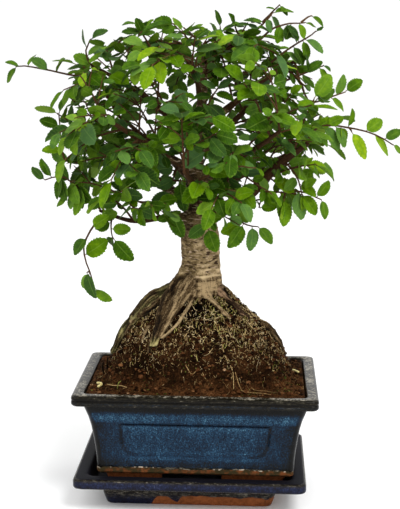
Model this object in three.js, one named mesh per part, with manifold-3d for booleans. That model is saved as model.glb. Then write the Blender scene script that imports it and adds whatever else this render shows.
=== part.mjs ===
// A zelkova bonsai in a glazed rectangular pot, standing in a glazed saucer.
// Millimetres, +Z up, the pot's front towards -Y. The origin is on the surface that the
// saucer stands on, under the middle of the pot.

import * as THREE from 'three';
import { mergeVertices } from 'three/addons/utils/BufferGeometryUtils.js';
import Module from 'manifold-3d';

const wasm = await Module();
wasm.setup();

// Driving dimensions

// A rectangle's depth is always this much less than its width, on each half side
const SIDE_DIFFERENCE = 29;
const CLEARANCE = 0.3;

const RIM_TOP = 98;
const POT_BOTTOM = 29.5;
const POT_FLOOR = 38;
// Half widths of the pot's outside at heights, from the underside up to the rim's lip
const POT_OUTSIDE = [
  [77.2, POT_BOTTOM], [78.6, 31], [78.8, 41], [79.6, 50], [81, 60], [82.4, 69], [84.4, 77],
  [87, 84.5], [88.6, 89], [93.6, 89.4], [95, 90.8], [95, 96.4], [93.6, RIM_TOP],
];
const POT_INSIDE = [[88, RIM_TOP], [87, 97.2], [82, 86], [77.5, 66], [74.5, 46], [72, POT_FLOOR]];
const POT_CORNER = 5;

// Recessed panels, which are as much narrower on the pot's short sides as the pot is
const PANEL = { top: 71.7, bottom: 45, recess: 1.5, topHalf: 59, bottomHalf: 48, curve: 17 };

// Four corner feet with gaps between them
const FOOT = { top: 73.5, bottom: 69.5, inner: 61, gapLeft: -27, gapRight: 21, sideGap: 13 };
const DRAIN = { x: 40, radius: 8, length: 20, sides: 10 };
const NET = { half: 12, thick: 1, holes: 3, hole: 5.6, bar: 1.5 };

const SAUCER = { shiftX: -4, difference: 27.7, floor: 18.5, corner: 6 };
const SAUCER_OUTSIDE = [
  [68, 0], [69.4, 1.4], [71.6, 11], [72.4, 14], [76, 16.4], [79, 20.6], [89.8, 21.4],
  [91.4, 23], [91.4, 27.2], [89.8, 28.8],
];
const SAUCER_INSIDE = [[82.4, 28.8], [81, 28], [77.5, 20], [75.5, SAUCER.floor]];

// Soil: its top edge, then the mound under the trunk and the rings that its surface is made of
const SOIL = { edge: 97, half: 85.8, corner: 4, mound: 75, moundX: 78, moundY: 56, power: 2.3,
  rough: 1, calm: 0.4, parts: 3.6, wallGap: 0.45, rings: [1, 0.88, 0.7, 0.5, 0.28] };
const SOIL_WALLS = [[72, POT_FLOOR + CLEARANCE], [77.5, 66], [82, 86]];

// Trunk: centre x, centre y, height, radius
const TRUNK = [
  [0, 2, 118, 24], [0, 2, 150, 24], [0, 1, 164, 22], [0.6, 0, 174, 19], [1, 0, 183, 17],
  [1.4, 0, 193, 15.4], [0.5, 0, 211, 15.7], [-0.6, 0, 223, 14.2], [-2, 0, 235, 11.4],
  [-4, 1, 256, 7.6], [-3, 4, 288, 5.6], [1, 1, 322, 4], [3, 2, 366, 2],
];

// Surface roots and main branches: the points of the middle line, first and last radius
const ROOTS = [
  { points: [[-8, -2, 184], [-26, -4, 169], [-44, -4, 155], [-57, -3, 139], [-66, -2, 120],
    [-72, -2, 100]], from: 9.5, to: 5 },
  { points: [[-10, -6, 178], [-19, -15, 166], [-25, -24, 155], [-31, -31, 143], [-36, -36, 131]],
    from: 6.5, to: 2.4 },
  { points: [[12, -6, 176], [22, -6, 168], [32, -10, 159], [42, -11, 149], [52, -12, 136]],
    from: 6, to: 3 },
  { points: [[8, -12, 172], [12, -20, 163], [20, -26, 154], [30, -29, 144]], from: 4, to: 1.6 },
  { points: [[6, 10, 176], [20, 20, 162], [34, 29, 146], [44, 36, 126]], from: 7, to: 3 },
  { points: [[-8, 10, 176], [-18, 22, 160], [-28, 32, 143], [-34, 40, 122]], from: 7, to: 3 },
];
const BRANCHES = [
  { points: [[0, -2, 224], [20, -8, 238], [37, -12, 248], [60, -16, 272], [84, -18, 291]],
    from: 7, to: 2 },
  { points: [[0, 2, 246], [28, 22, 258], [54, 42, 268], [80, 54, 280]], from: 4.2, to: 1.5 },
  { points: [[-4, -4, 231], [-30, -10, 230], [-52, -14, 228], [-78, -18, 236]], from: 3, to: 1.3 },
  { points: [[-2, 0, 238], [-34, 4, 256], [-62, 6, 270], [-92, 4, 282]], from: 5, to: 1.5 },
  { points: [[0, -2, 232], [4, -30, 250], [-2, -56, 264], [-8, -80, 276]], from: 4.6, to: 1.5 },
  { points: [[-2, 0, 256], [24, -30, 276], [46, -54, 292], [62, -72, 306]], from: 3.8, to: 1.4 },
  { points: [[-3, 0, 264], [-28, -26, 284], [-50, -48, 300], [-70, -62, 314]], from: 3.6, to: 1.4 },
  { points: [[-2, 4, 236], [-6, 34, 252], [-12, 60, 266], [-16, 82, 280]], from: 4.4, to: 1.5 },
  { points: [[-4, 2, 258], [-30, 30, 276], [-54, 50, 292], [-74, 64, 306]], from: 3.8, to: 1.4 },
  { points: [[-2, 4, 280], [22, 30, 300], [42, 52, 320], [56, 66, 336]], from: 3.4, to: 1.4 },
  { points: [[-2, 3, 288], [-28, 2, 312], [-54, -4, 332], [-78, -8, 346]], from: 3.4, to: 1.4 },
  { points: [[-1, 2, 298], [26, 2, 320], [52, 4, 340], [74, 2, 354]], from: 3.4, to: 1.4 },
  { points: [[1, 2, 316], [-2, -24, 338], [-8, -46, 356]], from: 2.8, to: 1.2 },
  { points: [[1, 0, 332], [-8, 24, 350], [-14, 44, 364]], from: 2.6, to: 1.2 },
  { points: [[1, -2, 344], [22, -2, 364], [42, 0, 376]], from: 2.4, to: 1.1 },
];

const THICK_BRANCH = 4.5;

// Long twigs that stand out of the crown: their middle line, and their leaves as the place
// along the twig from 0 to 1 and the reach of the leaf from there to its tip
const LONG_TWIGS = [
  { name: 'left_whip',
    points: [[-78, -8, 345], [-93, -5, 341], [-107, -5, 343], [-133, -5, 348], [-145, -5, 348]],
    leaves: [[1, -9, 0, -12], [0.93, -10, -4, 4], [0.8, 3, 5, 10], [0.62, -13, -5, 9],
      [0.56, 6, -9, 12], [0.32, 9, 6, -12]] },
  { name: 'upper_left_upright',
    points: [[-80, -9, 346], [-86, -16, 352], [-88, -20, 362], [-84, -20, 370]],
    leaves: [[1, 12, -2, 8], [0.72, -4, -8, 13], [0.5, 15, -5, 9], [0.25, -14, 2, 8]] },
  { name: 'left_upright',
    points: [[-92, 2, 284], [-106, -8, 272], [-110, -10, 291], [-111, -10, 312]],
    leaves: [[1, 6, -4, 16], [0.82, -15, -2, 6], [0.7, 14, -3, 8], [0.55, -14, -6, 2],
      [0.42, 13, 4, -2]] },
  { name: 'left_low',
    points: [[-78, -17, 237], [-92, -13, 250], [-108, -10, 262], [-123, -10, 259]],
    leaves: [[1, -10, -2, 10], [0.86, -8, -6, 15], [0.7, 2, -6, -18], [0.55, -14, 5, 12],
      [0.42, 4, -8, -15], [0.25, -3, 10, 14]] },
  { name: 'left_hanging',
    points: [[-72, -18, 236], [-82, -25, 226], [-91, -25, 208], [-87, -25, 191], [-82, -25, 175]],
    leaves: [[1, 12, 2, -13], [0.97, -2, -4, -17], [0.8, -5, 2, -14], [0.6, 18, -3, 12],
      [0.28, 12, -8, 10]] },
  { name: 'left_hanging_front',
    points: [[-66, -16, 232], [-68, -26, 230], [-68, -30, 222], [-66, -30, 216]],
    leaves: [[1, 13, -3, -18], [0.9, -10, 4, -14], [0.6, 15, -4, 0], [0.4, -14, 2, -6]] },
  { name: 'right_upper',
    points: [[74, 2, 352], [84, 0, 324], [100, 0, 325], [114, 0, 331]],
    leaves: [[1, 12, -3, 9], [0.8, 7, -4, 15], [0.72, 12, 4, -10], [0.5, 12, -5, 10]] },
  { name: 'right_whip',
    points: [[84, -18, 292], [94, -10, 305], [122, -5, 302], [140, -5, 297], [152, -5, 290]],
    leaves: [[1, 8, 2, -7], [0.84, 12, -4, 8], [0.7, 13, -3, -15], [0.6, 13, 3, 9],
      [0.45, 4, -5, 14], [0.4, 6, 3, -16]] },
  { name: 'right_low',
    points: [[62, -15, 270], [68, -18, 256], [82, -20, 254], [96, -20, 248]],
    leaves: [[1, 6, -3, -14], [0.9, 10, -6, 12], [0.7, 5, -4, 16], [0.6, -2, -6, -17],
      [0.3, 10, 4, -16]] },
  { name: 'trunk_right',
    points: [[30, -10, 246], [31, -26, 236], [36, -34, 230], [47, -35, 228]],
    leaves: [[1, 12, -2, -12], [0.85, 2, -5, -18], [0.55, -14, -4, -10], [0.3, -10, -6, 2]] },
  { name: 'trunk_front',
    points: [[-1, -22, 246], [2, -28, 240], [6, -32, 232], [8, -33, 226]],
    leaves: [[1, 6, -4, -18], [0.8, -13, -4, -10], [0.5, 14, -6, -2]] },
  { name: 'top_right_twig',
    points: [[40, 0, 375], [48, 0, 382], [56, 0, 391]],
    leaves: [[1, 15, -2, 4], [0.9, 8, 5, -13], [0.5, -13, -4, 6]] },
  { name: 'top_upright',
    points: [[3, 2, 367], [9, 1, 371], [15, 0, 375], [15, 0, 380]],
    leaves: [[1, -2, -4, 13], [0.7, 13, -5, 7], [0.4, -12, -4, 8]] },
];

// The crown's rounded outline, and the sprays that fill it by rule
const CROWN = { centre: [-8, 0, 300], half: [112, 98, 82], power: 2.5, sprays: 35, lowest: -0.7 };
const SPRAY = { radius: 0.95, bow: 0.12, nodeStep: 8, firstNode: 0.24, lastNode: 0.95,
  fewest: 4 };
const SIDE_TWIG = { length: 25, radius: 0.8, rise: 1.2, nodes: [0.46, 0.73] };
const TWIG = { sides: 3, shrink: 0.75, nodeHalf: 0.75, stub: 1.8, tip: 0.8, root: 0.5 };
// Where a spray leaves its branch: the costs in mm of a turn back, of a place near another
// spray's, and of a reach that is too short
const ATTACH = { first: 3, turnCost: 22, near: 9, nearCost: 40, shortest: 24, shortCost: 60 };
const LEAF = { length: 19.5, ratio: 0.62, thick: 0.9, fold: 0.22, arch: 0.12 };
const TILTS = [0, 38, -38, 75, -75, 115];
const SEED = 27;

// The right half of a leaf's toothed edge: along its length and across its half width
const LEAF_EDGE = [[0.27, 0.78], [0.5, 1.06], [0.57, 0.84], [0.8, 0.62]];

// Colours and finishes
const COLOURS = {
  saucer: 0x1d2546, pot: 0x23466e, net: 0x1c1c1c, soil: 0x3d2616, wood: 0x7a6048,
  leaves: [0x3f7a25, 0x4b8a2b, 0x356b22, 0x5a9a34],
};

// Repeatable random numbers from 0 to 1
function randomFrom(seed) {
  let state = seed >>> 0;
  return () => {
    state = (state + 0x6d2b79f5) >>> 0;
    let t = state;
    t = Math.imul(t ^ (t >>> 15), t | 1);
    t ^= t + Math.imul(t ^ (t >>> 7), t | 61);
    return ((t ^ (t >>> 14)) >>> 0) / 4294967296;
  };
}

const vector = (p) => new THREE.Vector3(p[0], p[1], p[2]);
const UP = new THREE.Vector3(0, 0, 1);

// Points on a smooth curve through the given points, with equal steps in each span
function smooth(points, steps) {
  const at = (i) => points[Math.min(Math.max(i, 0), points.length - 1)];
  const curve = [];
  for (let i = 0; i < points.length - 1; i += 1) {
    const [a, b, c, d] = [at(i - 1), at(i), at(i + 1), at(i + 2)];
    for (let k = 0; k < steps; k += 1) {
      const t = k / steps;
      curve.push(b.map((_, n) => 0.5 * (2 * b[n] + (c[n] - a[n]) * t
        + (2 * a[n] - 5 * b[n] + 4 * c[n] - d[n]) * t * t
        + (3 * b[n] - a[n] - 3 * c[n] + d[n]) * t * t * t)));
    }
  }
  curve.push(points[points.length - 1].slice());
  return curve;
}

// A point and the direction at a share s, from 0 to 1, of a line's points
function alongLine(line, s) {
  const place = Math.min(Math.max(s, 0), 1) * (line.length - 1);
  const i = Math.min(Math.floor(place), line.length - 2);
  const a = vector(line[i]);
  const b = vector(line[i + 1]);
  return { point: a.clone().lerp(b, place - i), direction: b.sub(a).normalize() };
}

function lineLength(line) {
  let total = 0;
  for (let i = 1; i < line.length; i += 1) total += vector(line[i]).distanceTo(vector(line[i - 1]));
  return total;
}

// Closed solids

function solidOf(positions, triangles) {
  const mesh = new wasm.Mesh({
    numProp: 3,
    vertProperties: new Float32Array(positions),
    triVerts: new Uint32Array(triangles),
  });
  return new wasm.Manifold(mesh);
}

function solidOfGeometry(geometry) {
  const bare = geometry.clone();
  bare.deleteAttribute('normal');
  bare.deleteAttribute('uv');
  const merged = mergeVertices(bare, 1e-4);
  return solidOf(merged.attributes.position.array, merged.index.array);
}

// Skin through rings of equally many points, closed by a flat or pointed end at each end
function skin(rings, startPoint, endPoint) {
  const count = rings[0].length;
  const positions = rings.flat(2);
  const triangles = [];
  for (let r = 0; r < rings.length - 1; r += 1) {
    for (let i = 0; i < count; i += 1) {
      const a = r * count + i;
      const b = r * count + ((i + 1) % count);
      triangles.push(a, b, b + count, a, b + count, a + count);
    }
  }
  const start = positions.length / 3;
  const last = (rings.length - 1) * count;
  positions.push(...startPoint, ...endPoint);
  for (let i = 0; i < count; i += 1) {
    const next = (i + 1) % count;
    triangles.push(start, next, i, start + 1, last + i, last + next);
  }
  return solidOf(positions, triangles);
}

// Ring of points round a rectangle with rounded corners, anticlockwise seen from above
function roundedRing(halfX, halfY, corner, z, steps) {
  const ring = [];
  const corners = [[1, -1, -90], [1, 1, 0], [-1, 1, 90], [-1, -1, 180]];
  for (const [sx, sy, from] of corners) {
    for (let k = 0; k <= steps; k += 1) {
      const angle = THREE.MathUtils.degToRad(from + (90 * k) / steps);
      ring.push([sx * (halfX - corner) + corner * Math.cos(angle),
        sy * (halfY - corner) + corner * Math.sin(angle), z]);
    }
  }
  return ring;
}

// Stack of rounded rectangles whose half widths are given with their heights
function stack(profile, corner, difference, shiftX = 0) {
  const rings = profile.map(([half, z]) => roundedRing(half, half - difference, corner, z, 2));
  rings.forEach((ring) => ring.forEach((point) => { point[0] += shiftX; }));
  const ends = [profile[0], profile[profile.length - 1]].map(([, z]) => [shiftX, 0, z]);
  return skin(rings, ends[0], ends[1]);
}

function boxSolid(x0, x1, y0, y1, z0, z1) {
  const box = new THREE.BoxGeometry(x1 - x0, y1 - y0, z1 - z0);
  box.translate((x0 + x1) / 2, (y0 + y1) / 2, (z0 + z1) / 2);
  return solidOfGeometry(box);
}

// Tapered limb along a line, with a blunt point at each end. sideScale varies the radius
// round the limb, so that a trunk can be fluted
function limb(line, radii, sides, sideScale = () => 1) {
  const points = line.map(vector);
  const tangents = points.map((_, i) => points[Math.min(i + 1, points.length - 1)].clone()
    .sub(points[Math.max(i - 1, 0)]).normalize());
  const reference = Math.abs(tangents[0].x) < 0.9 ? new THREE.Vector3(1, 0, 0) : UP.clone();
  let across = reference.sub(tangents[0].clone().multiplyScalar(reference.dot(tangents[0])));
  across.normalize();
  const rings = points.map((point, i) => {
    const t = tangents[i];
    across = across.clone().sub(t.clone().multiplyScalar(across.dot(t))).normalize();
    const other = new THREE.Vector3().crossVectors(t, across);
    const ring = [];
    for (let k = 0; k < sides; k += 1) {
      const angle = (2 * Math.PI * k) / sides;
      const r = radii[i] * sideScale(angle, i);
      ring.push(point.clone().addScaledVector(across, r * Math.cos(angle))
        .addScaledVector(other, r * Math.sin(angle)).toArray());
    }
    return ring;
  });
  const last = points.length - 1;
  const start = points[0].clone().addScaledVector(tangents[0], -0.5 * radii[0]);
  const end = points[last].clone().addScaledVector(tangents[last], 0.9 * radii[last]);
  return skin(rings, start.toArray(), end.toArray());
}

function taper(from, to, count, grow = 0) {
  return Array.from({ length: count }, (_, i) => from + ((to - from) * i) / (count - 1) + grow);
}

function largestBody(solid) {
  const bodies = solid.decompose();
  return bodies.reduce((best, body) => (body.volume() > best.volume() ? body : best));
}

// Saucer

function saucerSolid() {
  return stack([...SAUCER_OUTSIDE, ...SAUCER_INSIDE], SAUCER.corner, SAUCER.difference,
    SAUCER.shiftX);
}

// Pot

// The outline of a recessed panel: straight above, its sides curving in to the lower edge
function panelShape(cut) {
  const top = PANEL.topHalf - cut;
  const low = PANEL.bottomHalf - cut;
  const height = PANEL.top - PANEL.bottom;
  const shape = new THREE.Shape();
  shape.moveTo(-top, height);
  shape.lineTo(-top, PANEL.curve);
  shape.quadraticCurveTo(-top + 1, 1, -low, 0);
  shape.lineTo(low, 0);
  shape.quadraticCurveTo(top - 1, 1, top, PANEL.curve);
  shape.lineTo(top, height);
  shape.closePath();
  return shape;
}

// Cutter for the panel on one side of the pot, leaning as the wall does
function panelCutter(quarterTurns) {
  const onSide = quarterTurns % 2 === 1;
  const halfAt = (z) => {
    const above = POT_OUTSIDE.findIndex(([, height]) => height >= z);
    const [a, b] = [POT_OUTSIDE[above - 1], POT_OUTSIDE[above]];
    return a[0] + ((b[0] - a[0]) * (z - a[1])) / (b[1] - a[1]);
  };
  const shift = onSide ? 0 : SIDE_DIFFERENCE;
  const low = halfAt(PANEL.bottom) - shift;
  const high = halfAt(PANEL.top) - shift;
  const geometry = new THREE.ExtrudeGeometry(panelShape(onSide ? SIDE_DIFFERENCE : 0),
    { depth: 8, bevelEnabled: false, curveSegments: 4 });
  const lean = Math.atan2(high - low, PANEL.top - PANEL.bottom);
  geometry.rotateX(Math.PI / 2 + lean);
  geometry.translate(0, -low + PANEL.recess, PANEL.bottom);
  geometry.rotateZ((quarterTurns * Math.PI) / 2);
  return solidOfGeometry(geometry);
}

function footSolid() {
  const bottom = SAUCER.floor + CLEARANCE;
  const lift = 1;
  const ring = stack([[FOOT.bottom, bottom], [FOOT.top, POT_BOTTOM + lift]], POT_CORNER,
    SIDE_DIFFERENCE);
  const inner = FOOT.inner;
  const reach = 100;
  return ring
    .subtract(boxSolid(-inner, inner, SIDE_DIFFERENCE - inner, inner - SIDE_DIFFERENCE,
      bottom - 1, POT_BOTTOM))
    .subtract(boxSolid(FOOT.gapLeft, FOOT.gapRight, -reach, reach, bottom - 1, POT_BOTTOM))
    .subtract(boxSolid(-reach, reach, -FOOT.sideGap, FOOT.sideGap, bottom - 1, POT_BOTTOM));
}

function drainHole(x) {
  const hole = new THREE.CylinderGeometry(DRAIN.radius, DRAIN.radius, DRAIN.length,
    DRAIN.sides);
  hole.rotateX(Math.PI / 2);
  hole.translate(x, 0, (POT_BOTTOM + POT_FLOOR) / 2);
  return solidOfGeometry(hole);
}

function potSolid() {
  let pot = stack([...POT_OUTSIDE, ...POT_INSIDE], POT_CORNER, SIDE_DIFFERENCE).add(footSolid());
  for (let turn = 0; turn < 4; turn += 1) pot = pot.subtract(panelCutter(turn));
  return pot.subtract(drainHole(-DRAIN.x)).subtract(drainHole(DRAIN.x));
}

// Drain nets, which lie on the pot's floor over its holes

function netBox(x, grow) {
  const z = POT_FLOOR + CLEARANCE;
  return boxSolid(x - NET.half - grow, x + NET.half + grow, -NET.half - grow, NET.half + grow,
    z - grow, z + NET.thick + grow);
}

function netSolid(x) {
  let net = netBox(x, 0);
  const pitch = NET.hole + NET.bar;
  const first = -((NET.holes - 1) * pitch) / 2;
  for (let i = 0; i < NET.holes; i += 1) {
    for (let j = 0; j < NET.holes; j += 1) {
      const cx = x + first + i * pitch;
      const cy = first + j * pitch;
      const r = NET.hole / 2;
      net = net.subtract(boxSolid(cx - r, cx + r, cy - r, cy + r, POT_FLOOR - 1, POT_FLOOR + 5));
    }
  }
  return net;
}

// Tree wood: trunk, surface roots and main branches, all made larger by grow

function trunkFlutes(angle, ring) {
  const flare = Math.max(0, 1 - ring / 8);
  return 1 + 0.02 * Math.cos(3 * angle + 1) + 0.09 * flare * Math.cos(5 * angle + 0.6);
}

function woodSolid(grow) {
  const heights = TRUNK.map(([x, y, z]) => [x, y, z]);
  let wood = limb(heights, TRUNK.map(([, , , r]) => r + grow), 12, trunkFlutes);
  const uneven = (angle, i) => 1 + 0.1 * Math.cos(3 * angle + i);
  for (const { points, from, to } of ROOTS) {
    wood = wood.add(limb(points, taper(from, to, points.length, grow), 6, uneven));
  }
  for (const { points, from, to } of BRANCHES) {
    const sides = from > THICK_BRANCH ? 6 : 4;
    wood = wood.add(limb(points, taper(from, to, points.length, grow), sides));
  }
  return wood;
}

// Soil: fills the pot and rises in a mound under the trunk

function soilHeight(x, y) {
  const spread = Math.hypot(x / SOIL.moundX, y / SOIL.moundY);
  const mound = SOIL.mound * Math.max(0, 1 - spread ** SOIL.power);
  const lumps = Math.sin(x * 0.31 + 1) * Math.cos(y * 0.37) + Math.sin(x * 0.13 - y * 0.21);
  return SOIL.edge + mound + SOIL.rough * lumps * (spread < 1 ? 1 : SOIL.calm);
}

// Ring round a rounded rectangle with extra points on its straight sides
function soilRing(halfX, halfY, corner, height) {
  const rough = roundedRing(halfX, halfY, corner, 0, 1);
  const ring = [];
  rough.forEach((point, i) => {
    const next = rough[(i + 1) % rough.length];
    const long = Math.hypot(next[0] - point[0], next[1] - point[1]);
    const parts = Math.max(1, Math.round((SOIL.parts * long) / halfX));
    for (let k = 0; k < parts; k += 1) {
      const x = point[0] + ((next[0] - point[0]) * k) / parts;
      const y = point[1] + ((next[1] - point[1]) * k) / parts;
      ring.push([x, y, height(x, y)]);
    }
  });
  return ring;
}

function soilSolid(woodCutter) {
  const rings = SOIL_WALLS.map(([wall, z]) => {
    const half = wall - SOIL.wallGap;
    return soilRing(half, half - SIDE_DIFFERENCE, SOIL.corner, () => z);
  });
  for (const share of SOIL.rings) {
    rings.push(soilRing(SOIL.half * share, (SOIL.half - SIDE_DIFFERENCE) * share,
      SOIL.corner * share, soilHeight));
  }
  let soil = skin(rings, [0, 0, SOIL_WALLS[0][1]], [0, 0, soilHeight(0, 0)]).subtract(woodCutter);
  for (const x of [-DRAIN.x, DRAIN.x]) soil = soil.subtract(netBox(x, CLEARANCE));
  return largestBody(soil);
}

// Leaves

// The corners of one toothed leaf: the middle of its rib above and below, then its edge
// from the right of the base round the tip to the left. grow makes it larger all round
function leafCorners(leaf, grow = 0) {
  const { base, axis, normal, length } = leaf;
  const across = new THREE.Vector3().crossVectors(axis, normal).normalize();
  const half = (length * LEAF.ratio) / 2 + grow;
  const long = length + grow;
  const thick = LEAF.thick / 2 + grow;
  const corner = (u, v, w) => {
    const bend = LEAF.fold * Math.abs(v) - (LEAF.arch * u * Math.abs(u)) / length;
    return base.clone().addScaledVector(axis, u).addScaledVector(across, v)
      .addScaledVector(normal, w + bend).toArray();
  };
  const right = LEAF_EDGE.map(([u, v]) => corner(u * long, v * half, 0));
  const left = LEAF_EDGE.map(([u, v]) => corner(u * long, -v * half, 0)).reverse();
  return { top: corner(0.5 * length, 0, thick), under: corner(0.5 * length, 0, -thick),
    rootTop: corner(0, 0, SPRAY.radius), rootUnder: corner(0, 0, -SPRAY.radius),
    edge: [...right, corner(long, 0, 0), ...left] };
}

// A leaf by itself, for keeping leaves clear of each other
function leafSolid(leaf, grow = 0) {
  const { top, under, rootTop, rootUnder, edge } = leafCorners(leaf, grow);
  const [first, last] = [4, 3 + edge.length];
  const triangles = [0, 2, first, 1, first, 3, 0, last, 2, 1, 3, last, first, 2, 3, 2, last, 3];
  for (let i = first; i < last; i += 1) triangles.push(0, i, i + 1, 1, i + 1, i);
  return solidOf([top, under, rootTop, rootUnder, ...edge].flat(), triangles);
}

// A leaf's place for one of its tilts about the twig. The axis leans out from the twig,
// and the upper face looks up and out of the crown
function leafPlace(site, tilt) {
  const turned = site.lean.clone().applyAxisAngle(site.along, THREE.MathUtils.degToRad(tilt));
  const outward = site.base.clone().sub(vector(CROWN.centre)).normalize();
  const sky = UP.clone().addScaledVector(outward, 1.3).addScaledVector(site.jitter, 0.5);
  const normal = sky.addScaledVector(turned, -sky.dot(turned)).normalize();
  return { base: site.base, axis: turned, normal, length: site.length };
}

// Where a leaf may grow on a twig's line: on one side, or at the end where side is 0
function leafSite(line, share, side, random) {
  const { point, direction } = alongLine(line, share);
  const sideways = new THREE.Vector3().crossVectors(direction, UP).normalize();
  const jitter = new THREE.Vector3(random() - 0.5, random() - 0.5, random() - 0.5);
  const lean = direction.clone().addScaledVector(sideways, side * (1.3 + 0.5 * random()))
    .addScaledVector(UP, -0.35 - 0.35 * random()).addScaledVector(jitter, 0.6).normalize();
  const length = LEAF.length * (0.8 + 0.35 * random());
  return { base: point, along: direction, lean, jitter, length };
}

// Twigs with their leaves, grown as one closed skin

// Close the gap between a loop of corners on a twig and the loop over it, both running
// anticlockwise seen from the tip. Angles are from the reference direction
function stitch(skinned, loop, over, overAngles, axis, reference) {
  const corners = loop.map((i) => vector(skinned.positions.slice(3 * i, 3 * i + 3)));
  const centre = corners.reduce((sum, p) => sum.add(p), new THREE.Vector3())
    .divideScalar(loop.length);
  const other = new THREE.Vector3().crossVectors(axis, reference);
  const turn = (angle) => ((angle % (2 * Math.PI)) + 2 * Math.PI) % (2 * Math.PI);
  const onLoop = loop.map((corner, i) => {
    const arm = corners[i].clone().sub(centre);
    return { corner, low: true, angle: turn(Math.atan2(arm.dot(other), arm.dot(reference))) };
  });
  const onOver = over.map((corner, i) => ({ corner, low: false, angle: turn(overAngles[i]) }));
  const round = [...onLoop, ...onOver].sort((a, b) => a.angle - b.angle);
  let low = round.findLast((step) => step.low).corner;
  let high = round.findLast((step) => !step.low).corner;
  for (const step of round) {
    skinned.triangles.push(low, step.corner, high);
    if (step.low) low = step.corner;
    else high = step.corner;
  }
}

function addCorners(skinned, corners) {
  const first = skinned.positions.length / 3;
  skinned.positions.push(...corners.flat());
  return corners.map((_, i) => first + i);
}

// Leaf that replaces the facet of a twig whose corners are in the loop
function growLeaf(skinned, leaf, loop) {
  const corners = leafCorners(leaf);
  const [top, under, ...edge] = addCorners(skinned, [corners.top, corners.under, ...corners.edge]);
  const round = [top, edge[0], under, edge[edge.length - 1]];
  const angles = round.map((_, i) => (i * Math.PI) / 2);
  stitch(skinned, loop, round, angles, leaf.axis, leaf.normal);
  for (let i = 0; i < edge.length - 1; i += 1) {
    skinned.triangles.push(top, edge[i], edge[i + 1], under, edge[i + 1], edge[i]);
  }
}

// Twig that starts from a loop on its parent, or from a blunt point where it has none.
// Each of its nodes is a short length, one facet of which carries a leaf or a side twig
function growTwig(skinned, twig, loop) {
  const total = lineLength(twig.line);
  const step = TWIG.nodeHalf / total;
  const stations = [{ share: loop ? TWIG.stub / total : 0 }];
  for (const share of twig.bends ?? []) stations.push({ share });
  for (const node of twig.nodes.filter((each) => each.grown)) {
    stations.push({ share: node.share - step, node }, { share: node.share + step });
  }
  stations.push({ share: 1 });
  stations.sort((a, b) => a.share - b.share);
  const spacing = (2 * Math.PI) / TWIG.sides;
  let across = null;
  let angle = 0;
  let before = null;
  for (const station of stations) {
    const { point, direction } = alongLine(twig.line, station.share);
    if (!across) across = Math.abs(direction.x) < 0.9 ? new THREE.Vector3(1, 0, 0) : UP.clone();
    across = across.clone().addScaledVector(direction, -across.dot(direction)).normalize();
    const other = new THREE.Vector3().crossVectors(direction, across);
    let facet = -1;
    if (station.node) {
      const way = station.node.grown.way;
      const wanted = Math.atan2(way.dot(other), way.dot(across)) - spacing / 2 - angle;
      facet = ((Math.round(wanted / spacing) % TWIG.sides) + TWIG.sides) % TWIG.sides;
      angle += wanted - Math.round(wanted / spacing) * spacing;
    }
    const radius = twig.radius * (1 - (1 - TWIG.shrink) * station.share);
    const angles = Array.from({ length: TWIG.sides }, (_, k) => angle + k * spacing);
    const ring = addCorners(skinned, angles.map((a) => point.clone()
      .addScaledVector(across, radius * Math.cos(a)).addScaledVector(other, radius * Math.sin(a))
      .toArray()));
    if (!before) {
      if (loop) stitch(skinned, loop, ring, angles, direction, across);
      else {
        const [root] = addCorners(skinned, [point.clone()
          .addScaledVector(direction, -TWIG.root).toArray()]);
        ring.forEach((corner, k) => {
          skinned.triangles.push(root, ring[(k + 1) % TWIG.sides], corner);
        });
      }
    } else {
      ring.forEach((_, k) => {
        const next = (k + 1) % TWIG.sides;
        const quad = [before.ring[k], before.ring[next], ring[next], ring[k]];
        if (k !== before.facet) {
          skinned.triangles.push(quad[0], quad[1], quad[2], quad[0], quad[2], quad[3]);
        } else if (before.node.twig) growTwig(skinned, before.node.twig, quad);
        else growLeaf(skinned, before.node.grown.leaf, quad);
      });
    }
    before = { ring, facet, node: station.node, point, direction };
  }
  if (twig.end.grown) growLeaf(skinned, twig.end.grown.leaf, before.ring);
  else {
    const [tip] = addCorners(skinned, [before.point.clone()
      .addScaledVector(before.direction, TWIG.tip).toArray()]);
    before.ring.forEach((corner, k) => {
      skinned.triangles.push(tip, corner, before.ring[(k + 1) % TWIG.sides]);
    });
  }
}

// Crown: the plan of each spray, with its nodes and side twigs

const branchLines = BRANCHES.map((branch) => smooth(branch.points, 4));

// The place on a main branch from which a spray grows out to a tip
function attachment(tip, used) {
  let best = null;
  branchLines.forEach((line) => {
    for (let i = ATTACH.first; i < line.length; i += 1) {
      const point = vector(line[i]);
      const direction = point.clone().sub(vector(line[i - 1])).normalize();
      const reach = tip.clone().sub(point);
      const distance = reach.length();
      const turn = 1 - direction.dot(reach) / distance;
      const crowd = used.filter((other) => other.distanceTo(point) < ATTACH.near).length;
      const cost = distance + ATTACH.turnCost * turn + ATTACH.nearCost * crowd
        + (distance < ATTACH.shortest ? ATTACH.shortCost : 0);
      if (!best || cost < best.cost) best = { cost, point };
    }
  });
  used.push(best.point);
  return best.point;
}

function sideTwig(stem, share, side, random) {
  const { point, direction } = alongLine(stem, share);
  const sideways = new THREE.Vector3().crossVectors(direction, UP).normalize();
  const lean = direction.clone().multiplyScalar(0.7).addScaledVector(sideways, side)
    .addScaledVector(UP, 0.9 * (random() - 0.45)).normalize();
  const end = point.clone().addScaledVector(lean, SIDE_TWIG.length * (0.8 + 0.5 * random()));
  const middle = point.clone().lerp(end, 0.5).addScaledVector(UP, SIDE_TWIG.rise);
  const line = [point, middle, end].map((p) => p.toArray());
  const nodes = SIDE_TWIG.nodes.map((at, i) => (
    { share: at, site: leafSite(line, at, i % 2 ? side : -side, random) }));
  return { line, radius: SIDE_TWIG.radius, nodes, end: { site: leafSite(line, 1, 0, random) } };
}

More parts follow.
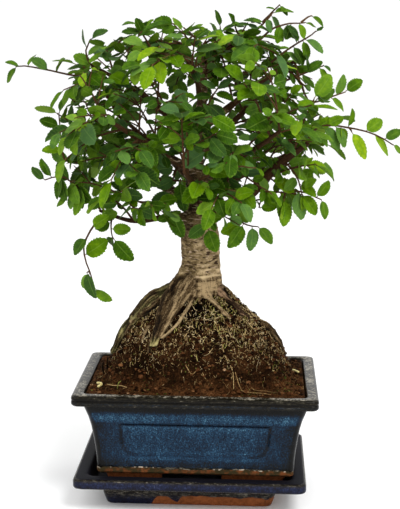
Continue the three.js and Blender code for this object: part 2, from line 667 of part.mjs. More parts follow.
function ruledSpray(index, count, used) {
  const random = randomFrom(SEED + 101 * index);
  const height = 1 - ((1 - CROWN.lowest) * (index + 0.5)) / count;
  const angle = index * Math.PI * (3 - Math.sqrt(5)) + 0.5 * (random() - 0.5);
  const round = Math.sqrt(1 - height * height);
  const way = [Math.cos(angle) * round, Math.sin(angle) * round, height];
  const scale = way.reduce((sum, w) => sum + Math.abs(w) ** CROWN.power, 0) ** (-1 / CROWN.power);
  const reach = scale * (0.86 + 0.12 * random());
  const tip = new THREE.Vector3(...way.map((w, n) => CROWN.centre[n] + w * reach * CROWN.half[n]));
  const start = attachment(tip, used);
  const total = start.distanceTo(tip);
  const middle = start.clone().lerp(tip, 0.5)
    .addScaledVector(UP, SPRAY.bow * total * (0.4 + random()));
  const line = smooth([start, middle, tip].map((p) => p.toArray()), 2);
  const { firstNode, lastNode } = SPRAY;
  const number = Math.max(SPRAY.fewest, Math.round((total * (1 - firstNode)) / SPRAY.nodeStep));
  let side = random() < 0.5 ? 1 : -1;
  const nodes = [];
  for (let i = 0; i < number; i += 1) {
    const share = firstNode + ((lastNode - firstNode) * (i + 0.2 * random())) / number;
    if (i % 2 === 0 && i < number - 1) {
      nodes.push({ share, twig: sideTwig(line, share, side, random) });
    } else nodes.push({ share, site: leafSite(line, share, side, random) });
    side = -side;
  }
  return { line, radius: SPRAY.radius, nodes, end: { site: leafSite(line, 1, 0, random) } };
}

function longTwig(twig) {
  const line = smooth(twig.points, 2);
  const nodes = twig.leaves.map(([share, x, y, z]) => {
    const { point, direction } = alongLine(line, share);
    const reach = new THREE.Vector3(x, y, z);
    const jitter = new THREE.Vector3(0, -2.2, 0);
    return { share, site: { base: point, along: direction, lean: reach.clone().normalize(),
      jitter, length: reach.length() } };
  });
  const last = twig.points.length - 1;
  const bends = Array.from({ length: last - 1 }, (_, i) => (i + 1) / last)
    .filter((bend) => nodes.every((node) => Math.abs(node.share - bend) * lineLength(line) > 4));
  return { line, radius: SPRAY.radius, nodes: nodes.slice(1), end: nodes[0], bends };
}

function bareTwig(twig, grow = 0) {
  const radii = taper(twig.radius, twig.radius * TWIG.shrink, twig.line.length, grow);
  return limb(twig.line, radii, TWIG.sides);
}

// What is already placed, so that a new leaf or twig can be kept clear of it
const placed = [];

function boxesMeet(a, b) {
  return [0, 1, 2].every((n) => a.min[n] <= b.max[n] && b.min[n] <= a.max[n]);
}

function isClear(solid, parent) {
  const box = solid.boundingBox();
  return placed.every((other) => other.owner === parent || !boxesMeet(box, other.box)
    || solid.intersect(other.solid).isEmpty());
}

function place(solid, owner) {
  placed.push({ solid, owner, box: solid.boundingBox() });
}

// Grow one leaf, with the first of its tilts that is clear
function settleLeaf(node, parent) {
  for (const tilt of TILTS) {
    const leaf = leafPlace(node.site, tilt);
    if (isClear(leafSolid(leaf, CLEARANCE), parent)) {
      place(leafSolid(leaf), null);
      node.grown = { leaf, way: leaf.axis };
      return;
    }
  }
}

function settleLeaves(twig) {
  settleLeaf(twig.end, twig);
  twig.nodes.filter((node) => node.site).forEach((node) => settleLeaf(node, twig));
}

function growCrown(woodCutter) {
  const used = LONG_TWIGS.map((twig) => vector(twig.points[0]));
  const sprays = LONG_TWIGS.map((twig) => ({ name: `twig_${twig.name}`, stem: longTwig(twig) }));
  for (let i = 0; i < CROWN.sprays; i += 1) {
    sprays.push({ name: `spray_${String(i + 1).padStart(2, '0')}`,
      stem: ruledSpray(i, CROWN.sprays, used) });
  }
  place(woodCutter, 'wood');
  for (const { stem } of sprays) place(bareTwig(stem), stem);
  const twigs = [];
  for (const { stem } of sprays) {
    for (const node of stem.nodes.filter((each) => each.twig)) {
      if (isClear(bareTwig(node.twig, CLEARANCE), stem)) {
        place(bareTwig(node.twig), node.twig);
        node.grown = { way: alongLine(node.twig.line, 0).direction };
        twigs.push(node.twig);
      }
    }
  }
  sprays.forEach(({ stem }) => settleLeaves(stem));
  twigs.forEach(settleLeaves);
  return sprays.map(({ name, stem }) => {
    const skinned = { positions: [], triangles: [] };
    growTwig(skinned, stem, null);
    const whole = solidOf(skinned.positions, skinned.triangles);
    return { name, solid: largestBody(whole.subtract(woodCutter)) };
  });
}

// Assembly

const bonsai = new THREE.Group();

function addPiece(name, solid, color, roughness) {
  const data = solid.getMesh();
  const geometry = new THREE.BufferGeometry();
  geometry.setAttribute('position', new THREE.BufferAttribute(data.vertProperties, 3));
  geometry.setIndex(new THREE.BufferAttribute(data.triVerts, 1));
  geometry.computeVertexNormals();
  const material = new THREE.MeshStandardMaterial({ color, roughness, metalness: 0,
    flatShading: true });
  const mesh = new THREE.Mesh(geometry, material);
  mesh.name = name;
  bonsai.add(mesh);
}

const wood = woodSolid(0);
const woodCutter = woodSolid(CLEARANCE);
addPiece('saucer', saucerSolid(), COLOURS.saucer, 0.25);
addPiece('pot', potSolid(), COLOURS.pot, 0.25);
addPiece('drain_net_left', netSolid(-DRAIN.x), COLOURS.net, 0.7);
addPiece('drain_net_right', netSolid(DRAIN.x), COLOURS.net, 0.7);
addPiece('soil', soilSolid(woodCutter), COLOURS.soil, 0.95);
addPiece('tree_wood', wood, COLOURS.wood, 0.85);
growCrown(woodCutter).forEach(({ name, solid }, i) => {
  addPiece(name, solid, COLOURS.leaves[i % COLOURS.leaves.length], 0.5);
});

export default bonsai;
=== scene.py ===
import math

import bpy
import numpy as np
from mathutils import Matrix, Vector
from mathutils.kdtree import KDTree


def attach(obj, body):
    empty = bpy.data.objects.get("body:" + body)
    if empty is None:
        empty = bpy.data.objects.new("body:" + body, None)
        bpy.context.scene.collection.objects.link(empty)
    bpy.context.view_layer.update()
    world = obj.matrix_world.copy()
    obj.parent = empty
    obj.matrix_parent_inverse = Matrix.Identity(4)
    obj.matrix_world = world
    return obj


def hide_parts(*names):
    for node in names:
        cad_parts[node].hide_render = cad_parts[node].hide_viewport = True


# A zelkova bonsai in its pot: the looks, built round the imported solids. Sizes are in
# millimetres until a mesh is made, +Z is up and the pot's front faces -Y.

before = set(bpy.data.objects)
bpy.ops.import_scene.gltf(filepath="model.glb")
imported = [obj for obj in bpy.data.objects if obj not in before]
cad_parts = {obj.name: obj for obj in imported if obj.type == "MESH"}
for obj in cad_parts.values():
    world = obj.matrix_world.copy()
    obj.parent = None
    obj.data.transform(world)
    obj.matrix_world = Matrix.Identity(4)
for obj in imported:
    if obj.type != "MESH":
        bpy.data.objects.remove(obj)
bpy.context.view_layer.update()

MM = 0.001
ROOT = "root"
UP = np.array([0.0, 0.0, 1.0])

# Sizes, nearly as the solids have them

SIDE_DIFFERENCE = 29
POT_CORNER = 5
POT_FLOOR = 38
# Profiles: half widths and heights, in the order that the skin follows
POT_OUTSIDE = [(77.2, 29.5), (78.6, 31), (78.8, 41), (79.6, 50), (81, 60), (82.4, 69), (84.4, 77),
               (87, 84.5), (88.6, 89)]
POT_RIM = [(93.2, 89.1), (95.4, 89.5), (96.3, 90.6), (96.5, 92), (96.3, 93.3), (95.9, 93.8),
           (96.3, 94.3), (96.5, 95.4), (96.2, 96.8), (95.4, 97.6), (94, 98), (91, 98.15),
           (89, 98), (87.6, 97.5), (87, 96.6)]
POT_INSIDE = [(85.5, 93), (82, 86), (77.5, 66), (74.5, 46), (72, 38)]
PANEL = {"top": 71.7, "bottom": 45, "recess": 1.5, "top_half": 59, "bottom_half": 48, "curve": 17}
FOOT = {"bottom": 18.8, "top": 31, "low_half": 69.5, "high_half": 73.5, "inner": 61,
        "gap_left": -27, "gap_right": 21, "side_gap": 13}
SAUCER_SHIFT = -4
SAUCER_DIFFERENCE = 27.7
SAUCER_CORNER = 6
SAUCER_PROFILE = [(65.6, 0), (66.5, 0.4), (67, 1.4), (68.4, 6), (69.8, 11), (71, 14),
                  (73.2, 15.4), (75.6, 16.6), (77.2, 18), (79, 19.4), (82, 20), (86, 20.1),
                  (90.2, 20.3), (91.6, 21), (92.2, 22.2), (92.2, 26.8), (91.7, 28.1), (90.4, 28.8),
                  (86, 28.95), (82.6, 28.8), (81.4, 28.3), (80.4, 26.6), (79, 23.4), (77.5, 20.2),
                  (76.6, 19), (75.5, 18.5)]
SOIL = {"edge": 97, "half": 85.8, "mound": 75, "mound_x": 78, "mound_y": 56, "power": 2.3}
# Trunk: places along its middle, and its radius there
TRUNK = [(0, 2, 140, 22), (0, 2, 152, 21), (0.6, 1, 164, 19.5), (1, 0, 174, 18), (1, 0, 183, 17),
         (1.4, 0, 193, 15.4), (0.5, 0, 211, 15.7), (-0.6, 0, 223, 14.2), (-2, 0, 235, 11.4),
         (-4, 1, 256, 7.6), (-3, 4, 288, 5.6), (1, 1, 322, 4), (3, 2, 366, 2)]
# Surface roots, the ones that show from the front first: places along the middle of each,
# and its radius there
ROOTS = {
    "left": [
        (-10, 3, 165, 6.2), (-23, -1, 162, 6), (-34, -3, 158.5, 7), (-44, -4, 151.5, 6.2),
        (-53, -4, 143.5, 5.3), (-61, -3, 133.5, 4.6), (-66, -2, 121, 4.2), (-69, -2, 104, 4)],
    "left_front": [
        (-14, -8, 167, 6), (-26, -11, 161.5, 4.4), (-36.5, -11, 155.5, 3.4), (-44, -10, 151.5, 2.8),
        (-53, -9.5, 144, 2.3), (-59, -8.5, 134, 1.8)],
    "front": [
        (-8, -4, 184, 8.5), (-15, -8, 175, 7.6), (-21, -12, 166, 6.4), (-24.5, -17, 159, 5.2),
        (-27.5, -23, 152.5, 4.4), (-30, -29, 145, 3.6), (-32.5, -33.5, 137.5, 2.9),
        (-34.5, -36, 131, 2.2)],
    "front_inner": [
        (-4, -10, 180, 7.5), (-10, -15.5, 172, 6.2), (-15, -21, 165, 5.2), (-19, -26, 158, 4.3),
        (-23.5, -30.5, 150.5, 3.4), (-28.5, -34, 142, 2.6), (-33, -36, 133.5, 2)],
    "thin": [
        (-2, -13, 174, 3.6), (-5, -20.5, 167, 2.2), (-7.5, -26.5, 161, 1.7), (-11, -30, 155.5, 1.5),
        (-15, -33, 149, 1.4), (-21, -35.5, 143, 1.3), (-27, -36.5, 137.5, 1.1)],
    "right": [
        (8, -5, 178, 6.3), (14.5, -7, 171.5, 4.4), (20, -9, 165.5, 3.7), (24.5, -11.5, 160, 3.3),
        (29.5, -13.5, 155.5, 3), (35, -14, 151, 2.4), (41, -12, 147, 2)],
    "right_front": [
        (7, -10, 172, 4), (8.5, -16.5, 167, 2.6), (14, -21.5, 163, 2.1), (20, -25, 158, 1.7),
        (26, -27, 152.5, 1.2)],
    "swelling": [
        (4, -12, 176, 6), (6, -14.5, 169.5, 4.6), (9, -16, 164, 2.8)],
    "stub": [
        (-37.5, -24, 144.5, 1.6), (-40, -25.5, 141, 1.6), (-42.5, -27.5, 136, 1.5),
        (-44.5, -29.5, 129, 1.1)],
    "back_right": [
        (6, 10, 174, 7), (20, 20, 158.5, 5.5), (34, 29, 143.5, 4), (44, 36, 125, 3)],
    "back_left": [
        (-8, 10, 176, 7), (-18, 22, 160, 5.5), (-28, 32, 143, 4), (-34, 40, 122, 3)],
    "back": [
        (0, 14, 172, 5), (4, 28, 158, 3.4), (2, 38, 143, 2.4), (6, 46, 122, 1.6)],
    "right_foot": [
        (50, -7, 145, 1.8), (55.5, -6, 140, 3), (59.8, -4, 132, 3.4), (63.6, -3, 122, 2.8),
        (67.2, -2, 110, 2.5), (70, -2, 99, 2.4)],
    "front_tip": [
        (-33, -29, 144, 1.2), (-35.5, -32, 138, 1.5), (-37.5, -34, 131, 1.3), (-38, -37, 123, 0.9)],
}
# The ridge down the front root, painted pale as a highlight: height and place across
FRONT_RIDGE = [(140, -28), (150, -23), (155, -21), (161, -18), (171, -14), (178, -12)]
# How far a root's middle stands above the soil at least, as a share of its radius
ROOT_STANDS = 0.25
# The height below which a root lies on the soil, and above which it is part of the trunk
ROOT_LIES_BELOW = 172
# Branches: middle line, and radius at the start and the end
BRANCHES = [
    ([(0, -2, 224), (20, -8, 238), (37, -12, 248), (60, -16, 272), (84, -18, 291)], 7, 2),
    ([(0, 2, 246), (28, 22, 258), (54, 42, 268), (80, 54, 280)], 4.2, 1.5),
    ([(-4, -4, 231), (-30, -10, 230), (-52, -14, 228), (-78, -18, 236)], 3, 1.3),
    ([(-2, 0, 238), (-34, 4, 256), (-62, 6, 270), (-92, 4, 282)], 5, 1.5),
    ([(0, -2, 232), (4, -30, 250), (-2, -56, 264), (-8, -80, 276)], 4.6, 1.5),
    ([(-2, 0, 256), (24, -30, 276), (46, -54, 292), (62, -72, 306)], 3.8, 1.4),
    ([(-3, 0, 264), (-28, -26, 284), (-50, -48, 300), (-70, -62, 314)], 3.6, 1.4),
    ([(-2, 4, 236), (-6, 34, 252), (-12, 60, 266), (-16, 82, 280)], 4.4, 1.5),
    ([(-4, 2, 258), (-30, 30, 276), (-54, 50, 292), (-74, 64, 306)], 3.8, 1.4),
    ([(-2, 4, 280), (22, 30, 300), (42, 52, 320), (56, 66, 336)], 3.4, 1.4),
    ([(-2, 3, 288), (-28, 2, 312), (-54, -4, 332), (-78, -8, 346)], 3.4, 1.4),
    ([(-1, 2, 298), (26, 2, 320), (52, 4, 340), (74, 2, 354)], 3.4, 1.4),
    ([(1, 2, 316), (-2, -24, 338), (-8, -46, 356)], 2.8, 1.2),
    ([(1, 0, 332), (-8, 24, 350), (-14, 44, 364)], 2.6, 1.2),
    ([(1, -2, 344), (22, -2, 364), (42, 0, 376)], 2.4, 1.1),
]
# Long twigs: their middle line, and each leaf's share along it and reach to its tip
LONG_TWIGS = {
    "left_whip": (
        [(-78, -8, 345), (-93, -5, 341), (-107, -5, 343), (-133, -5, 348), (-145, -5, 348)],
        [(1, -9, 0, -12), (0.93, -10, -4, 4), (0.8, 3, 5, 10), (0.62, -13, -5, 9),
         (0.56, 6, -9, 12), (0.32, 9, 6, -12)]),
    "upper_left_upright": (
        [(-80, -9, 346), (-86, -16, 352), (-88, -20, 362), (-84, -20, 370)],
        [(1, 12, -2, 8), (0.72, -4, -8, 13), (0.5, 15, -5, 9), (0.25, -14, 2, 8)]),
    "left_upright": (
        [(-92, 2, 284), (-106, -8, 272), (-110, -10, 291), (-111, -10, 312)],
        [(1, 6, -4, 16), (0.82, -15, -2, 6), (0.7, 14, -3, 8), (0.55, -14, -6, 2),
         (0.42, 13, 4, -2)]),
    "left_low": (
        [(-78, -17, 237), (-92, -13, 250), (-108, -10, 262), (-123, -10, 259)],
        [(1, -10, -2, 10), (0.86, -8, -6, 15), (0.7, 2, -6, -18), (0.55, -14, 5, 12),
         (0.42, 4, -8, -15), (0.25, -3, 10, 14)]),
    "left_hanging": (
        [(-72, -18, 236), (-82, -25, 226), (-91, -25, 208), (-87, -25, 191), (-82, -25, 175)],
        [(1, 12, 2, -13), (0.97, -2, -4, -17), (0.8, -5, 2, -14), (0.6, 18, -3, 12),
         (0.28, 12, -8, 10)]),
    "left_hanging_front": (
        [(-66, -16, 232), (-68, -26, 230), (-68, -30, 222), (-66, -30, 216)],
        [(1, 13, -3, -18), (0.9, -10, 4, -14), (0.6, 15, -4, 0), (0.4, -14, 2, -6)]),
    "right_upper": (
        [(74, 2, 352), (84, 0, 324), (100, 0, 325), (114, 0, 331)],
        [(1, 12, -3, 9), (0.8, 7, -4, 15), (0.72, 12, 4, -10), (0.5, 12, -5, 10)]),
    "right_whip": (
        [(84, -18, 292), (94, -10, 305), (122, -5, 302), (140, -5, 297), (152, -5, 290)],
        [(1, 8, 2, -7), (0.84, 12, -4, 8), (0.7, 13, -3, -15), (0.6, 13, 3, 9),
         (0.45, 4, -5, 14), (0.4, 6, 3, -16)]),
    "right_low": (
        [(62, -15, 270), (68, -18, 256), (82, -20, 254), (96, -20, 248)],
        [(1, 6, -3, -14), (0.9, 10, -6, 12), (0.7, 5, -4, 16), (0.6, -2, -6, -17),
         (0.3, 10, 4, -16)]),
    "trunk_right": (
        [(30, -10, 246), (31, -26, 236), (36, -34, 230), (47, -35, 228)],
        [(1, 12, -2, -12), (0.85, 2, -5, -18), (0.55, -14, -4, -10), (0.3, -10, -6, 2)]),
    "trunk_front": (
        [(-1, -22, 246), (2, -28, 240), (6, -32, 232), (8, -33, 226)],
        [(1, 6, -4, -18), (0.8, -13, -4, -10), (0.5, 14, -6, -2)]),
    "top_right_twig": (
        [(40, 0, 375), (48, 0, 382), (56, 0, 391)],
        [(1, 15, -2, 4), (0.9, 8, 5, -13), (0.5, -13, -4, 6)]),
    "top_upright": (
        [(3, 2, 367), (9, 1, 371), (15, 0, 375), (15, 0, 380)],
        [(1, -2, -4, 13), (0.7, 13, -5, 7), (0.4, -12, -4, 8)]),
}
# More twigs, only here, that fill the outline: their line and leaves
MORE_TWIGS = {
    "top_right_cluster": (
        [(46, 0, 370), (56, 0, 379), (69, 0, 383), (81, 0, 384)],
        [(1, 9, -2, -3), (0.85, 5, -4, -11), (0.7, -4, -5, -12), (0.6, 9, -5, -8),
         (0.5, -3, -5, -13), (0.4, 8, 5, -10), (0.25, -8, -5, 5)]),
    "top_right_tip": (
        [(78, 0, 384), (83, 0, 388), (86, 0, 389)], [(1, 10, -2, -6)]),
    "top_right_long": (
        [(54, 0, 352), (68, 0, 363), (79, 0, 370), (90, 0, 377)],
        [(1, 5, -1, 4), (0.72, 15, -4, -9), (0.68, 6, -3, -14), (0.55, -5, -6, 11),
         (0.45, 10, -6, -12), (0.3, 12, -6, -8), (0.2, -9, -7, 6), (0.6, -9, 3, 9)]),
    "right_shoulder": (
        [(62, 0, 337), (77, 0, 343), (87, 0, 347), (96, 0, 351)],
        [(1, 6, -2, -4), (0.85, 9, -5, -10), (0.6, -2, -5, 13), (0.5, 12, -5, 9),
         (0.3, -6, -6, 10), (0.4, 10, -6, -9)]),
    "right_low_inner": (
        [(42, -16, 254), (62, -20, 253), (81, -20, 252)],
        [(1, 12, -3, -15), (0.82, 7, -5, -19), (0.85, -14, -4, 13), (0.55, 4, -5, -20),
         (0.2, 14, -5, -10), (0.35, -8, -5, 11)]),
    "right_low_cluster": (
        [(62, -15, 280), (71, -18, 273), (78, -20, 263), (81, -20, 252)],
        [(1, 3, -3, -12), (0.8, 11, -4, 6), (0.55, 13, -5, 3), (0.3, 11, -5, 5),
         (0.6, -9, -6, -9), (0.75, 13, -5, -8)]),
    "top_left_sprig": (
        [(-38, -5, 362), (-45, -5, 373), (-50, -5, 382)],
        [(1, -11, -3, 1), (0.8, 10, -3, 3), (0.6, 8, -5, 11), (0.5, -12, -4, 6)]),
    "top_sprig": (
        [(2, 2, 364), (-6, 0, 373), (-13, 0, 379)],
        [(1, -9, -3, 4), (0.7, 9, -4, 7), (0.5, -12, -3, 4), (0.3, 6, -4, 10)]),
    "top_right_sprig": (
        [(22, -1, 362), (31, -1, 374), (36, -1, 383)],
        [(1, 9, -2, -5), (0.8, -10, -3, 3), (0.6, 12, -4, -4), (0.4, -10, -4, 6)]),
}
# More leaves on the long twigs
MORE_LEAVES = {
    "right_whip": [(0.27, 14, -5, -17), (0.3, 13, 4, 7), (0.16, 12, -6, -9), (0.2, 13, 5, 9),
                   (0.36, 11, -4, -14)],
    "left_low": [(0.7, -4, -6, -17), (0.55, 6, -8, -17), (0.45, 12, -6, -13),
                 (0.3, -10, -7, -14)],
    "trunk_right": [(0.66, -11, -3, -19), (0.2, 9, -6, -10)],
    "left_hanging": [(0.15, 13, -5, 6), (0.4, -10, -5, -12)],
    "left_upright": [(0.6, 12, 4, 8), (0.3, -12, -4, 8)],
}
# Short sprigs that fill the outline: their points after the twig they start from, and leaves
SPRIGS = {
    "whip_leaf": ([(119, -6, 300)], [(1, 13.5, -2, -20)]),
    "top_tip": ([(48, 0, 384), (55, 0, 391), (61, 0, 397)],
                [(1, 7, -1, -7), (0.8, -7, -2, 2), (0.5, 4, -3, -11), (0.35, -9, -3, 1)]),
    "top_left_cluster": ([(-50, -14, 370), (-45, -15, 376)],
                         [(1, -4, -3, 10), (0.9, -14, -3, 2), (0.8, 12, -4, 3),
                          (0.5, -11, -4, -3), (0.6, 8, -3, 9), (0.3, 10, -5, -3)]),
    "top_left_middle": ([(-10, -8, 370), (-14, -10, 377)],
                        [(1, -6, -3, 10), (0.9, 13, -4, 5), (0.7, -13, -4, 1),
                         (0.5, 11, -5, -3)]),
    "top_middle": ([(2, -6, 366), (5, -9, 372)],
                   [(1, 12, -3, 6), (0.6, -9, -4, 4), (0.5, 10, -4, -4)]),
    "top_right_middle": ([(28, 0, 376), (26, -2, 382)],
                         [(1, -3, -2, 9), (0.9, 11, -3, 3), (0.6, 10, -4, -2),
                          (0.5, -10, -3, 2)]),
    "centre": ([(4, -22, 318), (10, -26, 327), (14, -28, 334)],
               [(1, 11, -4, 7), (0.95, -10, -4, 8), (0.8, 15, -4, -3), (0.7, -14, -5, 0),
                (0.5, 13, -5, -9), (0.4, -11, -5, -10), (0.25, 6, -5, -15)]),
    "centre_back": ([(4, 16, 322), (12, 20, 330)],
                    [(1, 11, 3, 5), (0.8, -10, 4, 7), (0.6, 13, 4, -4), (0.4, -10, 4, -8)]),
    "right_middle": ([(66, -8, 322), (70, -10, 329)],
                     [(1, 8, -3, 7), (0.8, -9, -4, 8), (0.5, 12, -4, -3)]),
    "right_low_tip": ([(50, -19, 250), (48, -21, 241)], [(1, 14, -3, 1), (0.5, 9, -4, -7)]),
    "right_hanging": ([(67, -21, 248)], [(1, 2, -3, -21)]),
    "fork_front": ([(-20, -20, 262), (-14, -26, 262)], [(1, 1, -4, -23), (0.5, -11, -5, -7)]),
    "fork_left": ([(-21, -26, 253)], [(1, -15, -3, -11), (0.7, 5, -4, -12)]),
    "left_end": ([(-98, -10, 250), (-105, -10, 246)],
                 [(1, -9, -3, -7), (0.7, -3, -4, -11), (0.5, 8, -4, -9)]),
    "left_hanging_end": ([(-88, -26, 188)], [(1, 5, -3, -21)]),
    "fork_low": ([(-21, -20, 237)], [(1, 7, -3, -21), (0.5, -9, -3, -6)]),
}
# The outline that leaves added by rule keep inside, seen from the front, and how far they
# reach to the front and back
CROWN_EDGE = [(-80, 353), (-104, 338), (-113, 318), (-109, 300), (-108, 276), (-106, 262),
              (-112, 250), (-108, 238), (-82, 224), (-48, 218), (-8, 219), (30, 218), (42, 228),
              (52, 232), (66, 226), (80, 232), (100, 236), (96, 252), (94, 270), (99, 290),
              (97, 308), (93, 322), (93, 340), (90, 356), (93, 376), (72, 391), (46, 391),
              (11, 393), (-17, 392), (-48, 390), (-64, 381)]
CROWN_DEPTH = {"half": 104, "middle_z": 300, "half_z": 96}
# Gaps that leaves added by rule leave open, seen from the front: place and radius
SKY_GAPS = [(74, 291, 6), (54, 254, 5.5), (-106, 312, 5.5), (-109, 301, 5), (3, 351, 4.5),
            (20, 348, 5), (65, 351, 4.5), (87, 236, 5), (-76, 369, 5), (-26, 330, 3.5),
            (-58, 300, 4), (-60, 250, 3.5), (-47, 311, 4.5), (-47, 302, 4.5), (-14, 282, 4.5),
            (-46, 250, 3.5), (51, 367, 4.5), (50, 382, 4), (58, 283, 4), (-45, 372, 4.5),
            (70, 279, 4), (68, 257, 5.5), (66, 305, 4), (-89, 311, 4), (-72, 239, 3.5)]
# The rule that the solids' sprays grow by: the crown's form, the stems, their side twigs,
# what makes a place on a branch a dear one to start from, and the leaves
CROWN = {"centre": np.array([-8.0, 0, 300]), "half": np.array([112.0, 98, 82]), "power": 2.5,
         "sprays": 35, "lowest": -0.7}
SPRAY = {"bow": 0.12, "node_step": 8, "first": 0.24, "last": 0.95, "fewest": 4}
SIDE_TWIG = {"length": 25, "rise": 1.2, "nodes": (0.46, 0.73)}
ATTACH = {"first": 3, "turn_cost": 22, "near": 9, "near_cost": 40, "shortest": 24,
          "short_cost": 60}
LEAF = {"length": 19.5, "fold": 0.22, "arch": 0.12, "middle": 0.55}
# How near a solid's corner is to a planned place if the solid was made there
SAME_PLACE = {"twig": 1.3, "leaf": 0.08}
# Sprays added inside the crown: how many, how near the crown's skin their tips are at least,
# and how much nearer they may be
LAYERS = ((46, 0.84, 0.14), (26, 0.55, 0.2))
LAYER_LOWEST = -0.8
# Where leaves are added along a twig, and their least and greatest share of a full length
LEAF_SHARES = {"stem": np.linspace(0.3, 0.98, 9), "side": (0.95, 0.6, 0.85, 0.3),
               "layer": (0.9, 0.6)}
SMALL_LENGTHS = {"extra": (0.45, 0.84), "layer": (0.48, 0.84)}
YOUNG_SHARE = 0.12
# How far the middles of added leaves stay from all others: near the top, lower, in layers
# and on their side twigs
APART = {"top": 5.8, "low": 6.8, "layer": 6.2, "layer_more": 6.7}
TOP_OF_CROWN = 335
# The heights above and below which a spray belongs to the top and the low pieces
REGION_TOP, REGION_LOW = 348, 262
# Points along a twig, its radius at its start and end, and its sides
TWIG_FORMS = {"stem": (11, 0.95, 0.5, 6), "side": (7, 0.62, 0.36, 5)}
# How far the rule turns a leaf about its twig, in the order in which it tries
TILTS = (0, 38, -38, 75, -75, 115)
SEED = 27
# Seeds of the other draws
SEEDS = {"crumbs": 61, "fibres": 71, "moss": 81, "tints": 5, "leaves": 100, "small_leaves": 200,
         "layers": 4001, "next_layer": 977}

# Camera, as the photograph was taken
CAMERA_PLACE = (49.2, -1044.1, 398.7)
CAMERA_PITCH = 0.18908
CAMERA_YAW = -0.046597
CAMERA_ROLL = 0.0074685
CAMERA_FOCAL_PIXELS = 1317.5
IMAGE_HEIGHT = 509
SENSOR = 36


# Numbers

def random_from(seed):
    """Repeatable random numbers from 0 to 1, the same as the solids' rule draws."""
    mask = 0xFFFFFFFF
    state = seed & mask

    def draw():
        nonlocal state
        state = (state + 0x6D2B79F5) & mask
        t = ((state ^ (state >> 15)) * (state | 1)) & mask
        t ^= (t + (((t ^ (t >> 7)) * (t | 61)) & mask)) & mask
        return ((t ^ (t >> 14)) & mask) / 4294967296
    return draw


def lattice(cells, seed):
    """Scattered values from -1 to 1 at whole places, the same for the same seed."""
    x, y, z = (cells[:, i].astype(np.int64) for i in range(3))
    n = (x * 374761393 + y * 668265263 + z * 1440662683 + seed * 69069) & 0xFFFFFFFF
    n = ((n ^ (n >> 13)) * 1274126177) & 0xFFFFFFFF
    return ((n ^ (n >> 16)) & 0xFFFF) / 32767.5 - 1


def noise_at(points, size, seed=0):
    """Smooth noise from -1 to 1 at points, with lumps about size across."""
    scaled = points / np.asarray(size, float)
    low = np.floor(scaled)
    share = scaled - low
    share = share * share * (3 - 2 * share)
    total = np.zeros(len(points))
    for corner in range(8):
        step = np.array([corner & 1, corner >> 1 & 1, corner >> 2])
        weight = np.prod(np.where(step, share, 1 - share), axis=1)
        total += weight * lattice(low + step, seed)
    return total


def smoothstep(low, high, value):
    """0 up to low and 1 from high on, or the other way round where low is the greater."""
    t = np.clip((np.asarray(value, float) - low) / (high - low), 0, 1)
    return t * t * (3 - 2 * t)


def hump(value, middle, width):
    """1 at the middle and nearly 0 from about twice the width away."""
    return np.exp(-((value - middle) / width) ** 2)


def spot(x, y, middle, widths):
    """The same in two directions."""
    return np.exp(-((x - middle[0]) / widths[0]) ** 2 - ((y - middle[1]) / widths[1]) ** 2)


def wobble(line, size, seed):
    """Smooth shifts for the points of a line, each from -1 to 1."""
    return np.stack([noise_at(line, size, seed + n) for n in range(3)], 1)


def unit(v):
    v = np.asarray(v, float)
    return v / np.linalg.norm(v, axis=-1, keepdims=True)


def smooth(points, steps):
    """Points on a smooth curve through the given points, with equal steps in each span."""
    points = np.asarray(points, float)
    curve = []
    for i in range(len(points) - 1):
        a, b, c, d = (points[min(max(k, 0), len(points) - 1)] for k in range(i - 1, i + 3))
        for k in range(steps):
            t = k / steps
            curve.append(0.5 * (2 * b + (c - a) * t + (2 * a - 5 * b + 4 * c - d) * t * t
                                + (3 * b - a - 3 * c + d) * t ** 3))
    curve.append(points[-1])
    return np.array(curve)


def along_line(line, share):
    place = min(max(share, 0), 1) * (len(line) - 1)
    i = min(int(place), len(line) - 2)
    return line[i] + (line[i + 1] - line[i]) * (place - i), unit(line[i + 1] - line[i])


# Meshes

class Shape:
    """Points, faces, a material number for each face and named values for each point."""

    def __init__(self, *names):
        self.points, self.faces, self.slots = [], [], []
        self.values = {name: [] for name in names}
        self.count = 0

    def add(self, points, faces, slot=0, **values):
        """Points and groups of faces between them, all with one material."""
        points = np.asarray(points, float).reshape(-1, 3)
        for group in faces:
            self.add_faces(group, slot, self.count)
        for name, kept in self.values.items():
            kept.append(np.broadcast_to(values.get(name, 0.0), (len(points),)))
        self.points.append(points)
        self.count += len(points)

    def add_faces(self, faces, slot, first_point):
        self.faces.append(faces + first_point)
        self.slots.append(np.full(len(faces), slot))

    def add_closed(self, points, rows, ends, **values):
        """Rows of points as a skin, which the two end points close."""
        columns, count = len(points) // rows, len(points)
        self.add(np.concatenate([points, ends]), [grid_faces(rows, columns)]
                 + fans(rows, columns, count, count + 1), **values)

    def make(self, name, materials, sharp_angle=50):
        mesh = bpy.data.meshes.new(name)
        points = np.concatenate(self.points) * MM
        mesh.vertices.add(len(points))
        mesh.vertices.foreach_set("co", points.astype(np.float32).ravel())
        corners = np.concatenate([group.ravel() for group in self.faces])
        sizes = np.concatenate([np.full(len(group), group.shape[1]) for group in self.faces])
        mesh.loops.add(len(corners))
        mesh.polygons.add(len(sizes))
        mesh.polygons.foreach_set("loop_start", np.concatenate([[0], np.cumsum(sizes)[:-1]]))
        mesh.polygons.foreach_set("vertices", corners)
        for material in materials:
            mesh.materials.append(material)
        mesh.polygons.foreach_set("material_index", np.concatenate(self.slots))
        mesh.polygons.foreach_set("use_smooth", np.ones(len(sizes), bool))
        mesh.update(calc_edges=True)
        set_values(mesh, {key: np.concatenate(kept) for key, kept in self.values.items()})
        mesh.set_sharp_from_angle(angle=math.radians(sharp_angle))
        return in_scene(name, mesh)


